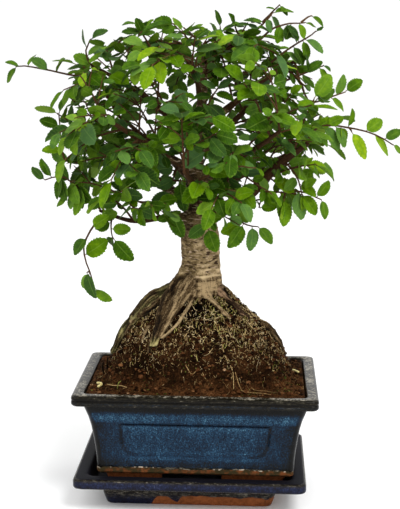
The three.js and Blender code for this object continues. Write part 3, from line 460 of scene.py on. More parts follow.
def in_scene(name, data):
    made = bpy.data.objects.new(name, data)
    bpy.context.scene.collection.objects.link(made)
    return made


def set_values(mesh, values):
    """Named values for each point, which the materials read."""
    for name, value in values.items():
        mesh.attributes.new(name, "FLOAT", "POINT").data.foreach_set(
            "value", value.astype(np.float32))


def show(piece, slot, *nodes):
    """A finished piece: it rides with the whole and stands for its nodes. Its slot is not used."""
    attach(piece, ROOT)
    if nodes:
        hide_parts(*nodes)


def grid_faces(rows, columns, wrap=True):
    """Quads between rows of points, facing out where rows rise and run anticlockwise."""
    a = (np.arange(rows - 1)[:, None] * columns
         + np.arange(columns if wrap else columns - 1)[None, :]).ravel()
    next_column = (a // columns) * columns + (a % columns + 1) % columns
    return np.stack([a, next_column, next_column + columns, a + columns], axis=1)


def fans(rows, columns, start, end):
    """Triangles that close the first row to point start and the last row to point end."""
    i = np.arange(columns)
    following = (i + 1) % columns
    last = (rows - 1) * columns
    return [np.stack([np.full(columns, start), following, i], axis=1),
            np.stack([np.full(columns, end), last + i, last + following], axis=1)]


def repeated(group, count, each):
    """The faces of one strand, leaf or lump for all of them, with so many points each."""
    offsets = (np.arange(count) * each)[:, None, None]
    return (group[None] + offsets).reshape(-1, group.shape[1])


def strands(shape, lines, radii, sides, slot=0, **values):
    """Round tapered strands. lines is strands x points x 3 and radii strands x points."""
    count, length = lines.shape[:2]
    tangent = unit(np.gradient(lines, axis=1))
    flattest = np.argmin(np.abs(tangent).mean(axis=1), axis=1)
    across = unit(np.cross(tangent, np.eye(3)[flattest][:, None]))
    other = np.cross(tangent, across)
    angle = 2 * np.pi * np.arange(sides) / sides
    ring = (across[:, :, None] * np.cos(angle)[:, None] + other[:, :, None]
            * np.sin(angle)[:, None])
    points = lines[:, :, None] + ring * radii[:, :, None, None]
    start = lines[:, 0] - tangent[:, 0] * radii[:, :1] * 0.6
    end = lines[:, -1] + tangent[:, -1] * radii[:, -1:] * 1.2
    block = np.concatenate([points.reshape(count, -1, 3), start[:, None], end[:, None]], axis=1)
    each = block.shape[1]
    groups = [grid_faces(length, sides)] + fans(length, sides, each - 2, each - 1)
    spread = {key: np.repeat(np.broadcast_to(value, (count,)), each)
              for key, value in values.items()}
    shape.add(block.reshape(-1, 3), [repeated(group, count, each) for group in groups], slot,
              **spread)


def resample(line, count):
    """The line as count points at equal distances."""
    line = np.asarray(line, float)
    steps = np.linalg.norm(np.diff(line, axis=0), axis=1)
    at = np.concatenate([[0], np.cumsum(steps)])
    wanted = np.linspace(0, at[-1], count)
    return np.stack([np.interp(wanted, at, line[:, n]) for n in range(3)], axis=1)


def evaluated(piece):
    """The mesh that a piece's modifiers give, as arrays of points and normals, and itself."""
    graph = bpy.context.evaluated_depsgraph_get()
    mesh = bpy.data.meshes.new_from_object(piece.evaluated_get(graph))
    points = np.zeros(len(mesh.vertices) * 3, np.float32)
    mesh.vertices.foreach_get("co", points)
    normals = np.zeros(len(mesh.vertices) * 3, np.float32)
    mesh.vertices.foreach_get("normal", normals)
    return mesh, points.reshape(-1, 3) / MM, normals.reshape(-1, 3)


# Materials

SHINE = "Specular IOR Level"
# Where a Mix node has its colours among its sockets
COLOUR_A, COLOUR_B, COLOUR_OUT = 6, 7, 2


class Field:
    """A number or colour over a surface. Arithmetic on it adds nodes to its material."""

    def __init__(self, look, socket):
        self.look, self.socket = look, socket

    def __add__(self, other):
        return self.look.math("ADD", self, other)

    def __sub__(self, other):
        return self.look.math("SUBTRACT", self, other)

    def __rsub__(self, other):
        return self.look.math("SUBTRACT", other, self)

    def __mul__(self, other):
        return self.look.math("MULTIPLY", self, other)

    def __abs__(self):
        return self.look.math("ABSOLUTE", self)


class Look:
    """A material with one plain shader, whose fixed values are set on its own sockets."""

    def __init__(self, name, **fixed):
        self.material = bpy.data.materials.new(name)
        self.material.use_nodes = True
        self.tree = self.material.node_tree
        self.shader = self.tree.nodes["Principled BSDF"]
        for key, value in fixed.items():
            self.shader.inputs[key].default_value = value

    def put(self, socket, value):
        """Link a field to a socket, or set the socket to a plain value or colour."""
        if isinstance(value, Field):
            self.tree.links.new(value.socket, socket)
        else:
            socket.default_value = (*value, 1) if socket.type == "RGBA" else value

    def node(self, kind, inputs, output=0, **settings):
        made = self.tree.nodes.new("ShaderNode" + kind)
        for key, value in settings.items():
            setattr(made, key, value)
        for key, value in inputs.items():
            self.put(made.inputs[key], value)
        return Field(self, made.outputs[output])

    def math(self, operation, a, b=0.0, clamp=False):
        return self.node("Math", {0: a, 1: b}, operation=operation, use_clamp=clamp)

    def value(self, name):
        return self.node("Attribute", {}, "Fac", attribute_name=name)

    def noise(self, size, detail, rough=0.6, stretch=(1, 1, 1)):
        """Noise from 0 to 1 with lumps about size mm across, stretched along the axes."""
        scale = tuple(1 / (size * MM * s) for s in stretch)
        place = self.node("Mapping", {"Vector": self.node("TexCoord", {}, "Object"),
                                      "Scale": scale})
        return self.node("TexNoise", {"Vector": place, "Scale": 1.0, "Detail": detail,
                                      "Roughness": rough}, "Fac")

    def between(self, value, low, high, to_low=0.0, to_high=1.0):
        """The value mapped smoothly from low..high to to_low..to_high."""
        return self.node("MapRange", {"Value": value, "From Min": low, "From Max": high,
                                      "To Min": to_low, "To Max": to_high}, "Result",
                         interpolation_type="SMOOTHSTEP")

    def mix(self, factor, a, b):
        """Number a where the factor is 0 and number b where it is 1."""
        return (1.0 - factor) * a + factor * b

    def blend(self, factor, a, b, kind="MIX"):
        """Colour a where the factor is 0 and colour b where it is 1."""
        return self.node("Mix", {0: factor, COLOUR_A: a, COLOUR_B: b}, COLOUR_OUT,
                         data_type="RGBA", blend_type=kind)

    def ramp(self, factor, stops):
        made = self.tree.nodes.new("ShaderNodeValToRGB")
        self.put(made.inputs["Fac"], factor)
        elements = made.color_ramp.elements
        while len(elements) < len(stops):
            elements.new(0.5)
        for element, (place, colour) in zip(elements, stops):
            element.position = place
            element.color = (*colour, 1)
        return Field(self, made.outputs["Color"])

    def finish(self, colour, roughness, height, relief, strength=1.0):
        """Set colour and roughness, and a bump of the given relief in mm."""
        bump = self.node("Bump", {"Height": height, "Distance": relief * MM,
                                  "Strength": strength})
        for name, value in (("Base Color", colour), ("Roughness", roughness), ("Normal", bump)):
            self.put(self.shader.inputs[name], value)
        return self.material


def leaf_material(name, stops, rib_colour, roughness, shine):
    look = Look(name, **{SHINE: shine})
    along, side = look.value("along"), abs(look.value("side"))
    mottled = look.value("tint") + (look.noise(4, 3) - 0.5) * 0.7
    rib = look.between(side, 0.02, 0.08, 1.0, 0.0)
    phase = look.math("FRACT", (along - side * 0.16) * 9.0)
    vein = look.between(abs(phase - 0.5), 0.05, 0.2, 1.0, 0.0)
    lines = look.math("MAXIMUM", rib * 0.6, vein * 0.11)
    colour = look.blend(lines * 0.6, look.ramp(mottled, stops), rib_colour)
    # A painted highlight along the leaf's edge
    colour = look.blend(look.between(side, 0.86, 1.0, 0.0, 0.25), colour, rib_colour)
    # A grey-green bloom on some leaves, partly painted sheen
    colour = look.blend(look.value("bloom"), colour, (0.10, 0.20, 0.085))
    return look.finish(colour, roughness, look.noise(0.8, 2) * 0.5 - lines, 0.12)


def twig_material():
    look = Look("twig_bark", **{SHINE: 0.05})
    grain = look.noise(1.2, 3, stretch=(1, 1, 1.6))
    colour = look.ramp(grain * 0.45 + look.value("tint") * 0.6,
                       [(0.12, (0.012, 0.006, 0.002)), (0.42, (0.060, 0.028, 0.012)),
                        (0.7, (0.15, 0.085, 0.032)), (1.0, (0.20, 0.18, 0.04))])
    return look.finish(colour, 0.7, grain, 0.15)


def bark_material():
    """Smooth tan bark with pale specks and dark pores on the trunk, and darker fluted wood
    on the roots. The value root is 1 on the roots and shade makes a place paler or darker:
    for the wood's own tone, and as painted shade and highlights."""
    look = Look("bark", **{SHINE: 0.08})
    root, shade = look.value("root"), look.value("shade")
    along = look.node("CombineXYZ", {"X": look.value("grain_x"), "Y": look.value("grain_y"),
                                     "Z": look.value("grain_z") * 0.1})
    streak = look.node("TexNoise", {"Vector": along, "Scale": 0.75, "Detail": 4.0,
                                    "Roughness": 0.65}, "Fac")
    grain = look.mix(root, look.noise(3.2, 5, 0.7, (1.3, 1.3, 1)), streak)
    rough = (look.noise(0.8, 3, 0.7) - 0.5) * look.mix(root, 0.35, 0.85)
    mixed = grain * 0.85 + (rough + 0.175) + shade * 0.24
    trunk = look.ramp(mixed, [(0.24, (0.016, 0.010, 0.003)), (0.45, (0.097, 0.064, 0.026)),
                              (0.62, (0.250, 0.178, 0.088)), (0.85, (0.56, 0.42, 0.24))])
    roots = look.ramp(mixed, [(0.3, (0.002, 0.001, 0.0004)), (0.48, (0.017, 0.009, 0.003)),
                              (0.66, (0.080, 0.049, 0.021)), (0.9, (0.35, 0.25, 0.13))])
    mossy = look.ramp(mixed, [(0.3, (0.004, 0.004, 0.001)), (0.55, (0.052, 0.050, 0.016)),
                              (0.9, (0.42, 0.40, 0.14))])
    roots = look.blend(look.value("green"), roots, mossy)
    roots = look.blend(look.value("purple"), roots, (0.75, 0.62, 0.75), "MULTIPLY")
    colour = look.blend(root, trunk, roots)
    specks = look.between(look.noise(1.0, 1, 0.4, (5, 5, 1)), 0.6, 0.7)
    specks = specks * look.math("SUBTRACT", 0.45, root, clamp=True)
    colour = look.blend(specks, colour, (0.60, 0.44, 0.31))
    pores = look.between(look.noise(1.6, 1, 0.3, (3.2, 3.2, 1)), 0.63, 0.68)
    pores = pores * look.math("SUBTRACT", 1.0, root, clamp=True)
    colour = look.blend(pores * 0.9, colour, (0.032, 0.015, 0.008))
    return look.finish(colour, 0.85, mixed - pores * 0.5, 0.8)


def soil_material():
    look = Look("soil_matter", **{SHINE: 0.02})
    lumps = look.noise(1.5, 6, 0.85)
    mixed = lumps * 0.85 + look.noise(18, 2) * 0.22 + look.value("tint") * 0.2
    colour = look.ramp(mixed, [(0.36, (0.0008, 0.0004, 0.0002)), (0.5, (0.008, 0.0032, 0.001)),
                               (0.62, (0.038, 0.015, 0.005)), (0.78, (0.14, 0.058, 0.020)),
                               (0.95, (0.36, 0.20, 0.09))])
    return look.finish(colour, 0.85, lumps, 0.8)


def plain_material(name, stops, roughness=0.75, grain=1.5, shine=0.1, green_stops=None):
    """Colour by each strand's or lump's own tint, with a fine grain."""
    look = Look(name, **{SHINE: shine})
    fine = look.noise(grain, 3)
    mixed = look.value("tint") * 0.8 + (fine - 0.4) * 0.6
    colour = look.ramp(mixed, stops)
    if green_stops:
        colour = look.blend(look.value("green"), colour, look.ramp(mixed, green_stops))
    return look.finish(colour, roughness, fine, 0.15)


def glaze_material(name, stops, speckle, lip_colour):
    """Glaze over terracotta. One value gives how bright the glaze is drawn: its own tone, with the
    painted shade, highlights and reflection that the pieces add. The value lip is the height in
    mm above the line at which it ends and olive is how far it has run thin."""
    look = Look(name, **{SHINE: 0.1, "Coat Weight": 0.02, "Coat Roughness": 0.08})
    noise, between = look.noise, look.between
    glow, lip, thinned = look.value("glow"), look.value("lip"), look.value("olive")
    fine, cloud = noise(1.0, 3, 0.8, (1, 1, 1.3)), noise(9, 3)
    runs = noise(3.2, 3, 0.6, (1, 1, 4))
    bright = glow + (fine - 0.5) * speckle + (cloud - 0.5) * 0.3 + (runs - 0.5) * 0.35
    thin = noise(1.0, 4, 0.8, (4, 4, 1)) * 1.3 + (noise(5, 3) - 0.9) * 0.25 + glow * 0.5
    olive = look.ramp(thin, [(0.42, (0.0015, 0.001, 0.0004)), (0.6, (0.0075, 0.006, 0.003)),
                             (0.76, (0.030, 0.026, 0.016)), (0.95, (0.30, 0.27, 0.21))])
    glazed = look.blend(thinned, look.ramp(bright, stops), olive)
    flecks = between(noise(0.9, 2, 0.6), 0.69, 0.78, 0.0, 0.4)
    glazed = look.blend(flecks, glazed, (0.13, 0.14, 0.13))
    clay = look.ramp(noise(2.5, 5, 0.7) * 0.7 + noise(14, 2) * 0.35,
                     [(0.32, (0.040, 0.016, 0.006)), (0.5, (0.19, 0.055, 0.016)),
                      (0.8, (0.36, 0.115, 0.038))])
    worn = thinned * between(noise(5, 3), 0.3, 0.58)
    clay = look.blend(worn, clay, (0.030, 0.022, 0.008))
    covered = between(lip, -0.15, 0.15)
    edge = between(lip, -0.5, -0.1) * between(lip, 0.35, 0.9, 1.0, 0.0)
    patchy = between(noise(4, 3), 0.54, 0.66)
    colour = look.blend(covered, clay, glazed)
    colour = look.blend(edge * patchy, colour, lip_colour)
    roughness = between(covered, 0.0, 1.0, 0.85, 0.22)
    return look.finish(colour, roughness, fine * 0.35 + cloud, 0.18, 0.6)


LEAF_TOP = leaf_material("leaf_top", [
    (0.0, (0.007, 0.022, 0.0002)), (0.3, (0.027, 0.074, 0.0004)), (0.6, (0.078, 0.165, 0.001)),
    (0.85, (0.15, 0.26, 0.003)), (1.0, (0.25, 0.36, 0.006))], (0.18, 0.29, 0.04), 0.5, 0.032)
LEAF_UNDER = leaf_material("leaf_under", [
    (0.0, (0.034, 0.080, 0.003)), (0.5, (0.090, 0.175, 0.009)), (1.0, (0.20, 0.31, 0.02))],
    (0.2, 0.32, 0.06), 0.65, 0.03)
TWIG_BARK = twig_material()
BARK = bark_material()
SOIL_MATTER = soil_material()
CRUMBS = plain_material("crumbs", [
    (0.0, (0.001, 0.0005, 0.0002)), (0.36, (0.012, 0.0045, 0.0015)), (0.62, (0.066, 0.024, 0.008)),
    (0.82, (0.19, 0.088, 0.035)), (1.0, (0.50, 0.36, 0.22))], grain=0.9, shine=0.02)
FIBRES = plain_material("fibres", [
    (0.0, (0.003, 0.0015, 0.0006)), (0.35, (0.034, 0.016, 0.006)), (0.58, (0.20, 0.115, 0.044)),
    (0.78, (0.52, 0.38, 0.17)), (1.0, (0.92, 0.80, 0.54))], 0.6, shine=0.03, green_stops=[
    (0.0, (0.004, 0.004, 0.0005)), (0.4, (0.050, 0.048, 0.006)), (0.7, (0.25, 0.25, 0.035)),
    (1.0, (0.70, 0.68, 0.18))])
MOSS = plain_material("moss", [
    (0.0, (0.004, 0.006, 0.001)), (0.5, (0.036, 0.042, 0.006)), (1.0, (0.22, 0.23, 0.05))], 0.9,
    shine=0.04)
POT_GLAZE = glaze_material("pot_glaze", [
    (0.0, (0.002, 0.002, 0.002)), (0.2, (0.004, 0.005, 0.006)), (0.4, (0.003, 0.009, 0.020)),
    (0.58, (0.0055, 0.020, 0.044)), (0.76, (0.013, 0.050, 0.098)), (1.0, (0.085, 0.20, 0.28))],
    1.6, (0.50, 0.42, 0.32))
SAUCER_GLAZE = glaze_material("saucer_glaze", [
    (0.0, (0.002, 0.002, 0.002)), (0.3, (0.006, 0.004, 0.005)), (0.55, (0.005, 0.006, 0.016)),
    (0.8, (0.013, 0.018, 0.050)), (1.0, (0.075, 0.090, 0.16))],
    1.5, (0.10, 0.034, 0.018))
SAUCER_INSIDE = plain_material("saucer_inside", [
    (0.0, (0.003, 0.003, 0.005)), (1.0, (0.008, 0.010, 0.026))], 0.6)
NET_PLASTIC = Look("net_plastic", **{"Base Color": (0.012, 0.012, 0.012, 1),
                                     "Roughness": 0.5}).material
FLOOR_WHITE = Look("floor_white", **{"Base Color": (0.97, 0.97, 0.97, 1), "Roughness": 0.7,
                                     SHINE: 0.2}).material


# Rings round the pot and the saucer

def marks_along(fixed, outer, step):
    """Places along a side: every step out to fixed, then four more out to the corner."""
    inner = np.linspace(0, fixed, int(round(fixed / step)) + 1)
    half = np.concatenate([inner, np.linspace(fixed, outer, 6)[1:-1]])
    return np.concatenate([-half[:0:-1], half])


def marks_round(fixed, outer, step):
    """Marks along the long and the short sides, with the pairs that they were made from."""
    return (*(marks_along(a, b, step) for a, b in zip(fixed, outer)), fixed, outer)


def rounded_ring(half_x, half_y, corner, marks_x, marks_y, fixed, outer, arc=6):
    """Ring of points, anticlockwise from above, that keeps its marks where they are up to
    fixed and spreads the outer ones to the corner. Both fixed and outer are pairs."""
    def spread(marks, axis, limit):
        beyond = np.clip((np.abs(marks) - fixed[axis]) / (outer[axis] - fixed[axis]), 0, 1)
        inner = np.minimum(np.abs(marks), fixed[axis]) * min(1, limit / outer[axis])
        start = fixed[axis] * min(1, limit / outer[axis])
        return np.sign(marks) * (inner + beyond * (limit - start))
    x = spread(marks_x, 0, half_x - corner)
    y = spread(marks_y, 1, half_y - corner)
    turns = np.radians(np.linspace(0, 90, arc + 1))
    parts = []
    for quarter, (side, fixed_side) in enumerate(((x, -half_y), (y, half_x), (-x[::-1], half_y),
                                                  (-y[::-1], -half_x))):
        if quarter % 2 == 0:
            line = np.stack([side if quarter == 0 else -x, np.full(len(side), fixed_side)], 1)
        else:
            line = np.stack([np.full(len(side), fixed_side), side if quarter == 1 else -y], 1)
        centre = np.array([(1, -1), (1, 1), (-1, 1), (-1, -1)][quarter])
        middle = centre * (np.array([half_x, half_y]) - corner)
        angle = turns - np.pi / 2 + quarter * np.pi / 2
        bend = middle + corner * np.stack([np.cos(angle), np.sin(angle)], 1)
        parts += [line, bend]
    return np.concatenate(parts)


def rings_up(profile, difference, corner, marks, arc=6):
    """The points of a ring at each half width and height of the profile."""
    rings = []
    for half, height in profile:
        ring = rounded_ring(half, half - difference, corner, *marks, arc)
        rings.append(np.column_stack([ring, np.full(len(ring), height)]))
    return np.concatenate(rings)


def panel_depth(along, height, cut):
    """How far inside a panel's outline a place on a wall is, in mm, below 0 outside it."""
    top, low = PANEL["top_half"] - cut, PANEL["bottom_half"] - cut
    t = np.linspace(0, 1, 14)[:, None]
    curl = ((1 - t) ** 2 * np.array([top, PANEL["curve"]]) + 2 * t * (1 - t)
            * np.array([top - 1, 1]) + t ** 2 * np.array([low, 0]))
    half = np.concatenate([[(0, PANEL["top"])], [(top, PANEL["top"])],
                           curl + np.array([0, PANEL["bottom"]]), [(0, PANEL["bottom"])]])
    point = np.stack([np.abs(along), height], 1)[:, None]
    start, span = half[:-1][None], np.diff(half, axis=0)[None]
    share = np.clip(((point - start) * span).sum(2) / (span ** 2).sum(2), 0, 1)
    distance = np.linalg.norm(point - start - share[..., None] * span, axis=2).min(1)
    widest = np.interp(height - PANEL["bottom"], curl[::-1, 1], curl[::-1, 0])
    inside = ((height > PANEL["bottom"]) & (height < PANEL["top"])
              & (np.abs(along) < widest))
    return np.where(inside, distance, -distance)


def profile_between(profile, step):
    """The profile with extra points, no more than step apart."""
    dense = [profile[0]]
    for a, b in zip(profile, profile[1:]):
        parts = max(1, int(math.ceil(math.dist(a, b) / step)))
        dense += [tuple(a[n] + (b[n] - a[n]) * k / parts for n in (0, 1))
                  for k in range(1, parts + 1)]
    return dense


# Pot

POT_MARKS = marks_round((66, 37), (78, 49), 1.7)
POT_LIP = 34.3
GLAZE_THICK = 0.35
# How many of the rim's rings are on its outside
RIM_OUTSIDE = 9
# Bands on the rim's glaze: height, half width and how much brighter they are. The first is a
# paler band, the second painted shade in the rim's groove and the third a painted highlight
# along its top edge
RIM_BANDS = [(91.9, 1.1, 0.22), (93.9, 0.6, -0.5), (97.3, 0.35, 0.24)]
# The height above which the rim's top is painted paler, as a painted reflection
RIM_REFLECTION_ABOVE = 97.7


def pot_glow(points, z, along, depth, corner_gap, rim):
    """How bright the glaze is drawn: its own tone, darker near the corners and low down, with
    painted shadow under the rim, painted shade along the panels' edges and bands on the rim: a
    paler one low on it, painted shade in its groove, a painted highlight on its top edge and a
    painted reflection on its top."""
    glow = 0.55 + 0.04 * noise_at(points, 16, 8)
    # A pale band below the rim, and painted shadow under the overhanging rim
    glow += 0.13 * hump(z, 77.5, 3.8) - 0.55 * smoothstep(80.5, 85, z)
    glow += 0.08 * smoothstep(60, 68, z) * smoothstep(0, 2, depth)
    glow += 0.06 * hump(z, 43, 2.5) * (np.abs(along) < 50)
    glow -= 0.14 * smoothstep(30, 12, corner_gap) * (z < 74)
    glow -= 0.12 * smoothstep(12, 5, corner_gap) * (z < 74)
    glow -= 0.30 * smoothstep(5.5, 1.5, corner_gap)
    # Painted shadow along the top edge of each panel's recess, and painted shade along the rest of
    # its edge
    glow -= 0.34 * hump(depth, 0.2, 1.1) * (z > 69)
    curved = smoothstep(40, 52, np.abs(along))
    glow -= (0.10 + 0.16 * curved) * hump(depth, 0.2, 1.2) * (z <= 69)
    glow += 0.08 * hump(depth, 2.6, 1.1)
    glow -= 0.14 * smoothstep(46, 58, np.abs(along)) * smoothstep(0, 1, depth) * (z < 66)
    glow -= 0.2 * smoothstep(43, 38, z)
    # On the rim: the bands, and a painted reflection on its top
    bands = sum(brighter * hump(z, height, half_width)
                for height, half_width, brighter in RIM_BANDS) + 0.42 * (z > RIM_REFLECTION_ABOVE)
    return glow * (1 - rim) + (0.02 + bands + 0.16 * noise_at(points, (9, 9, 2), 9)) * rim


def pot_piece():
    wall = profile_between(POT_OUTSIDE, 1.4)
    profile = wall + POT_RIM + profile_between(POT_INSIDE, 6)
    points = rings_up(profile, SIDE_DIFFERENCE, POT_CORNER, POT_MARKS)
    columns = len(points) // len(profile)
    outside = np.arange(len(points)) < (len(wall) + RIM_OUTSIDE) * columns
    x, y, z = points.T
    half = np.repeat([h for h, _ in profile], columns)
    front = np.abs(y) > half - SIDE_DIFFERENCE - 0.01
    side = np.abs(x) > half - 0.01
    along = np.where(front, x, y)
    depth = np.where(front, panel_depth(x, z, 0), -99.0)
    depth = np.where(side, panel_depth(y, z, SIDE_DIFFERENCE), depth)
    depth[~outside] = -99
    inward = np.column_stack([np.where(side, -np.sign(x), 0), np.where(front, -np.sign(y), 0),
                              np.zeros(len(x))])
    points = points + inward * (PANEL["recess"] * smoothstep(-0.6, 0.6, depth))[:, None]
    around = np.column_stack([x, y, np.zeros(len(x))])
    lip = z - (POT_LIP + 0.8 * noise_at(around, 11, 3) + 0.45 * noise_at(around, 4, 4))
    cover = GLAZE_THICK * (smoothstep(0, 1.0, lip) - 1) * outside
    outward = unit(np.column_stack([np.clip(x, -1, 1) * side, np.clip(y, -1, 1) * front,
                                    np.full(len(x), 1e-6)]))
    points = points + outward * (cover * (z < 60))[:, None]
    corner_gap = half - np.where(front, np.abs(x), np.abs(y) + SIDE_DIFFERENCE)
    rim = smoothstep(87.4, 88.4, z)
    glow = pot_glow(points, z, along, depth, corner_gap, rim)
    glow = np.where(outside | (z > 94), glow, 0.2)
    olive = rim * (0.92 - 0.75 * hump(z, 91.6, 1.4)) + (z < 36) * outside
    shape = Shape("glow", "lip", "olive")
    centres = [[0, 0, profile[0][1]], [0, 0, profile[-1][1]]]
    shape.add_closed(points, len(profile), centres, glow=np.append(glow, [0.1, 0.1]),
                     lip=np.append(lip, [-9, 9]), olive=np.append(olive, [0, 0]))
    for sx, sy in ((-1, -1), (1, -1), (1, 1), (-1, 1)):
        add_foot(shape, sx, sy)
    return shape.make("glazed_pot", [POT_GLAZE], 40)


def add_foot(shape, sx, sy):
    """One corner foot: an L round the pot's corner, wider above than below."""
    gap_x = abs(FOOT["gap_left"]) if sx < 0 else FOOT["gap_right"]
    heights = [(FOOT["bottom"], 0.7), (19.3, 0.15), (20.2, 0), (26, 0), (FOOT["top"], 0)]
    rows = []
    for height, inset in heights:
        share = (height - FOOT["bottom"]) / (FOOT["top"] - FOOT["bottom"])
        outer = FOOT["low_half"] + (FOOT["high_half"] - FOOT["low_half"]) * share - inset
        inner = FOOT["inner"] + inset
        outer_y, inner_y = outer - SIDE_DIFFERENCE, inner - SIDE_DIFFERENCE
        angle = np.radians(np.linspace(-90, 0, 7))
        bend = np.stack([outer - POT_CORNER + POT_CORNER * np.cos(angle),
                         -(outer_y - POT_CORNER) + POT_CORNER * np.sin(angle)], 1)
        span = np.linspace(gap_x + inset, outer - POT_CORNER, 12)[:-1]
        rise = np.linspace(outer_y - POT_CORNER, FOOT["side_gap"] + inset, 8)[1:]
        outline = np.concatenate([
            np.stack([span, np.full(len(span), -outer_y)], 1), bend,
            np.stack([np.full(len(rise), outer), -rise], 1),
            np.stack([np.full(len(rise), inner), -rise[::-1]], 1)[:-1], [(inner, -inner_y)],
            np.stack([span[::-1].clip(max=inner - 1), np.full(len(span), -inner_y)], 1)])
        outline = outline * (sx, -sy)
        if sx * -sy < 0:
            outline = outline[::-1]
        rows.append(np.column_stack([outline, np.full(len(outline), height)]))
    points = np.concatenate(rows)
    base = rows[0].mean(0)
    shape.add_closed(points, len(rows), [base, base + (0, 0, 12)], glow=0.3,
                     lip=-6 + 1.5 * noise_at(np.concatenate([points, [base, base]]), 6, 2))


# Saucer

SAUCER_MARKS = marks_round((56, 30), (62, 34), 2.2)
SAUCER_STEP = 2.0
# How many of the profile's last points are on the inside
SAUCER_INNER = 9


def saucer_piece():
    profile = profile_between(SAUCER_PROFILE, SAUCER_STEP)
    points = rings_up(profile, SAUCER_DIFFERENCE, SAUCER_CORNER, SAUCER_MARKS, 8)
    columns = len(points) // len(profile)
    x, y, z = points.T
    inner_rows = len(profile_between(SAUCER_PROFILE[-SAUCER_INNER:], SAUCER_STEP))
    inner = np.arange(len(points)) >= columns * (len(profile) - inner_rows)
    around = np.column_stack([x, y, np.zeros(len(x))])
    drips = smoothstep(0.25, 0.7, noise_at(around, 7, 21))
    line = 8.4 - 1.5 * drips + 0.9 * noise_at(around, 3, 22) - 16 * smoothstep(-24, -36, x)
    line -= 6.5 * np.clip(1 - np.abs(x + 10) / 5, 0, 1)
    lip = z - line
    outer_half = np.repeat([h for h, _ in profile], columns)
    corner_gap = np.minimum(outer_half - np.abs(x), 9) + np.minimum(
        outer_half - SAUCER_DIFFERENCE - np.abs(y), 9)
    edge = hump(z, 28.0, 0.7) * ~inner
    glow = 0.56 + 0.05 * noise_at(points, 14, 31) - 0.35 * edge
    glow += 0.10 * hump(z, 24.6, 1.8) * ~inner
    # Darker at the corners, and painted shade on the underside of the flange below the lip
    glow -= 0.2 * smoothstep(5, 1, corner_gap) + 0.5 * smoothstep(21.5, 20.3, z) * (z > 19)
    glow = np.where(inner, 0.4, glow)
    # The wall under the flange: darker as painted shade, and olive, as is the lip's top edge
    wall = smoothstep(19.5, 18, z) * smoothstep(4, 12, z) * ~inner
    glow -= 0.22 * wall
    olive = np.clip(0.55 * wall + 0.8 * edge, 0, 1)
    shift = SAUCER_SHIFT - 1.4 * smoothstep(16, 9, z)
    points = points + np.column_stack([shift, 0 * x, 0 * x])
    shape = Shape("glow", "lip", "olive")
    ends = [[SAUCER_SHIFT, 0, profile[0][1]], [SAUCER_SHIFT, 0, profile[-1][1]]]
    grid = grid_faces(len(profile), columns)
    within = inner[grid].all(axis=1)
    base, floor = fans(len(profile), columns, len(points), len(points) + 1)
    shape.add(np.concatenate([points, ends]), [grid[~within], base],
              glow=np.append(glow, [0.3, 0.3]), lip=np.append(lip, [-9, 9]),
              olive=np.append(olive, [0, 0]))
    for group in (grid[within], floor):
        shape.add_faces(group, 1, 0)
    return shape.make("glazed_saucer", [SAUCER_GLAZE, SAUCER_INSIDE], 40)


# Soil

# Humps and hollows of the mound: place, half widths and height
HUMPS = [((67, 0), (9, 30), 4), ((0, -26), (9, 4.5), -5.5), ((37, -2), (10, 24), -4.5),
         ((56, -4), (4, 10), 2)]
# The hollow under the front root's fork, where soil and fibres are painted dark as shade,
# and the middle of the moss, seen from above
SHADED_HOLLOW = (-1, -27)
MOSS_HEART = (18, -24)
CRUMB_COUNT = 3600


def spread_from_trunk(x, y):
    """0 at the mound's middle and 1 at its foot."""
    return np.hypot(x / SOIL["mound_x"], y / SOIL["mound_y"])


def soil_height(x, y):
    spread = spread_from_trunk(x, y)
    mound = SOIL["mound"] * np.maximum(0, 1 - spread ** SOIL["power"])
    lumps = np.sin(x * 0.31 + 1) * np.cos(y * 0.37) + np.sin(x * 0.13 - y * 0.21)
    for middle, half_widths, height in HUMPS:
        mound = mound + height * spot(x, y, middle, half_widths)
    return SOIL["edge"] + mound + lumps * np.where(spread < 1, 1, 0.4)


def soil_slope(x, y):
    step = 0.5
    return np.stack([soil_height(x + step, y) - soil_height(x - step, y),
                     soil_height(x, y + step) - soil_height(x, y - step)], 1) / (2 * step)


def soil_surface(x, y, cragginess=1.0):
    """Height of the soil with its lumps."""
    place = np.column_stack([x, y, soil_height(x, y)])
    edge = smoothstep(0, 6, np.minimum(SOIL["half"] - np.abs(x),
                                       SOIL["half"] - SIDE_DIFFERENCE - np.abs(y)))
    steep = smoothstep(101, 118, place[:, 2])
    rough = 1.1 * noise_at(place, 6, 51) + 0.8 * noise_at(place, 2.6, 52)
    crags = 1.5 * noise_at(place, (3, 3, 5), 53) + 1.3 * noise_at(place, (1.7, 1.7, 3), 54)
    return place[:, 2] + (rough + cragginess * crags * (0.25 + 0.75 * steep)) * edge


def root_limbs():
    """The middle line and radii of each surface root, raised to stand out of the soil."""
    limbs = []
    for stations in ROOTS.values():
        stations = np.array(stations, float)
        path = smooth(stations[:, :3], 5)
        radius = smooth(stations[:, [3, 3, 3]], 5)[:, 0]
        steep = np.hypot(1, np.linalg.norm(soil_slope(path[:, 0], path[:, 1]), axis=1))
        least = soil_height(path[:, 0], path[:, 1]) + ROOT_STANDS * radius * steep
        lying = path[:, 2] < ROOT_LIES_BELOW
        path[:, 2] = np.where(lying, np.maximum(path[:, 2], least), path[:, 2])
        limbs.append((path, radius))
    return limbs


def clear_of_roots(points):
    """How far each point is from the nearest surface root's skin, in mm."""
    limbs = root_limbs()
    tree = KDTree(sum(len(path) for path, _ in limbs))
    radii = []
    for path, radius in limbs:
        for point, half in zip(path, radius):
            tree.insert(point, len(radii))
            radii.append(half)
    tree.balance()
    return np.array([min(distance - radii[i] for _, i, distance in tree.find_n(point, 6))
                     for point in points])


SOIL_CORNER = 4
SOIL_BOTTOM = POT_FLOOR + 0.3
SOIL_WALL = [(71.6, SOIL_BOTTOM), (77, 66), (81.5, 86), (85.3, 95)]
SOIL_TOP = 165
SOIL_MARKS = marks_round((70, 41), (76, 47), 1.7)


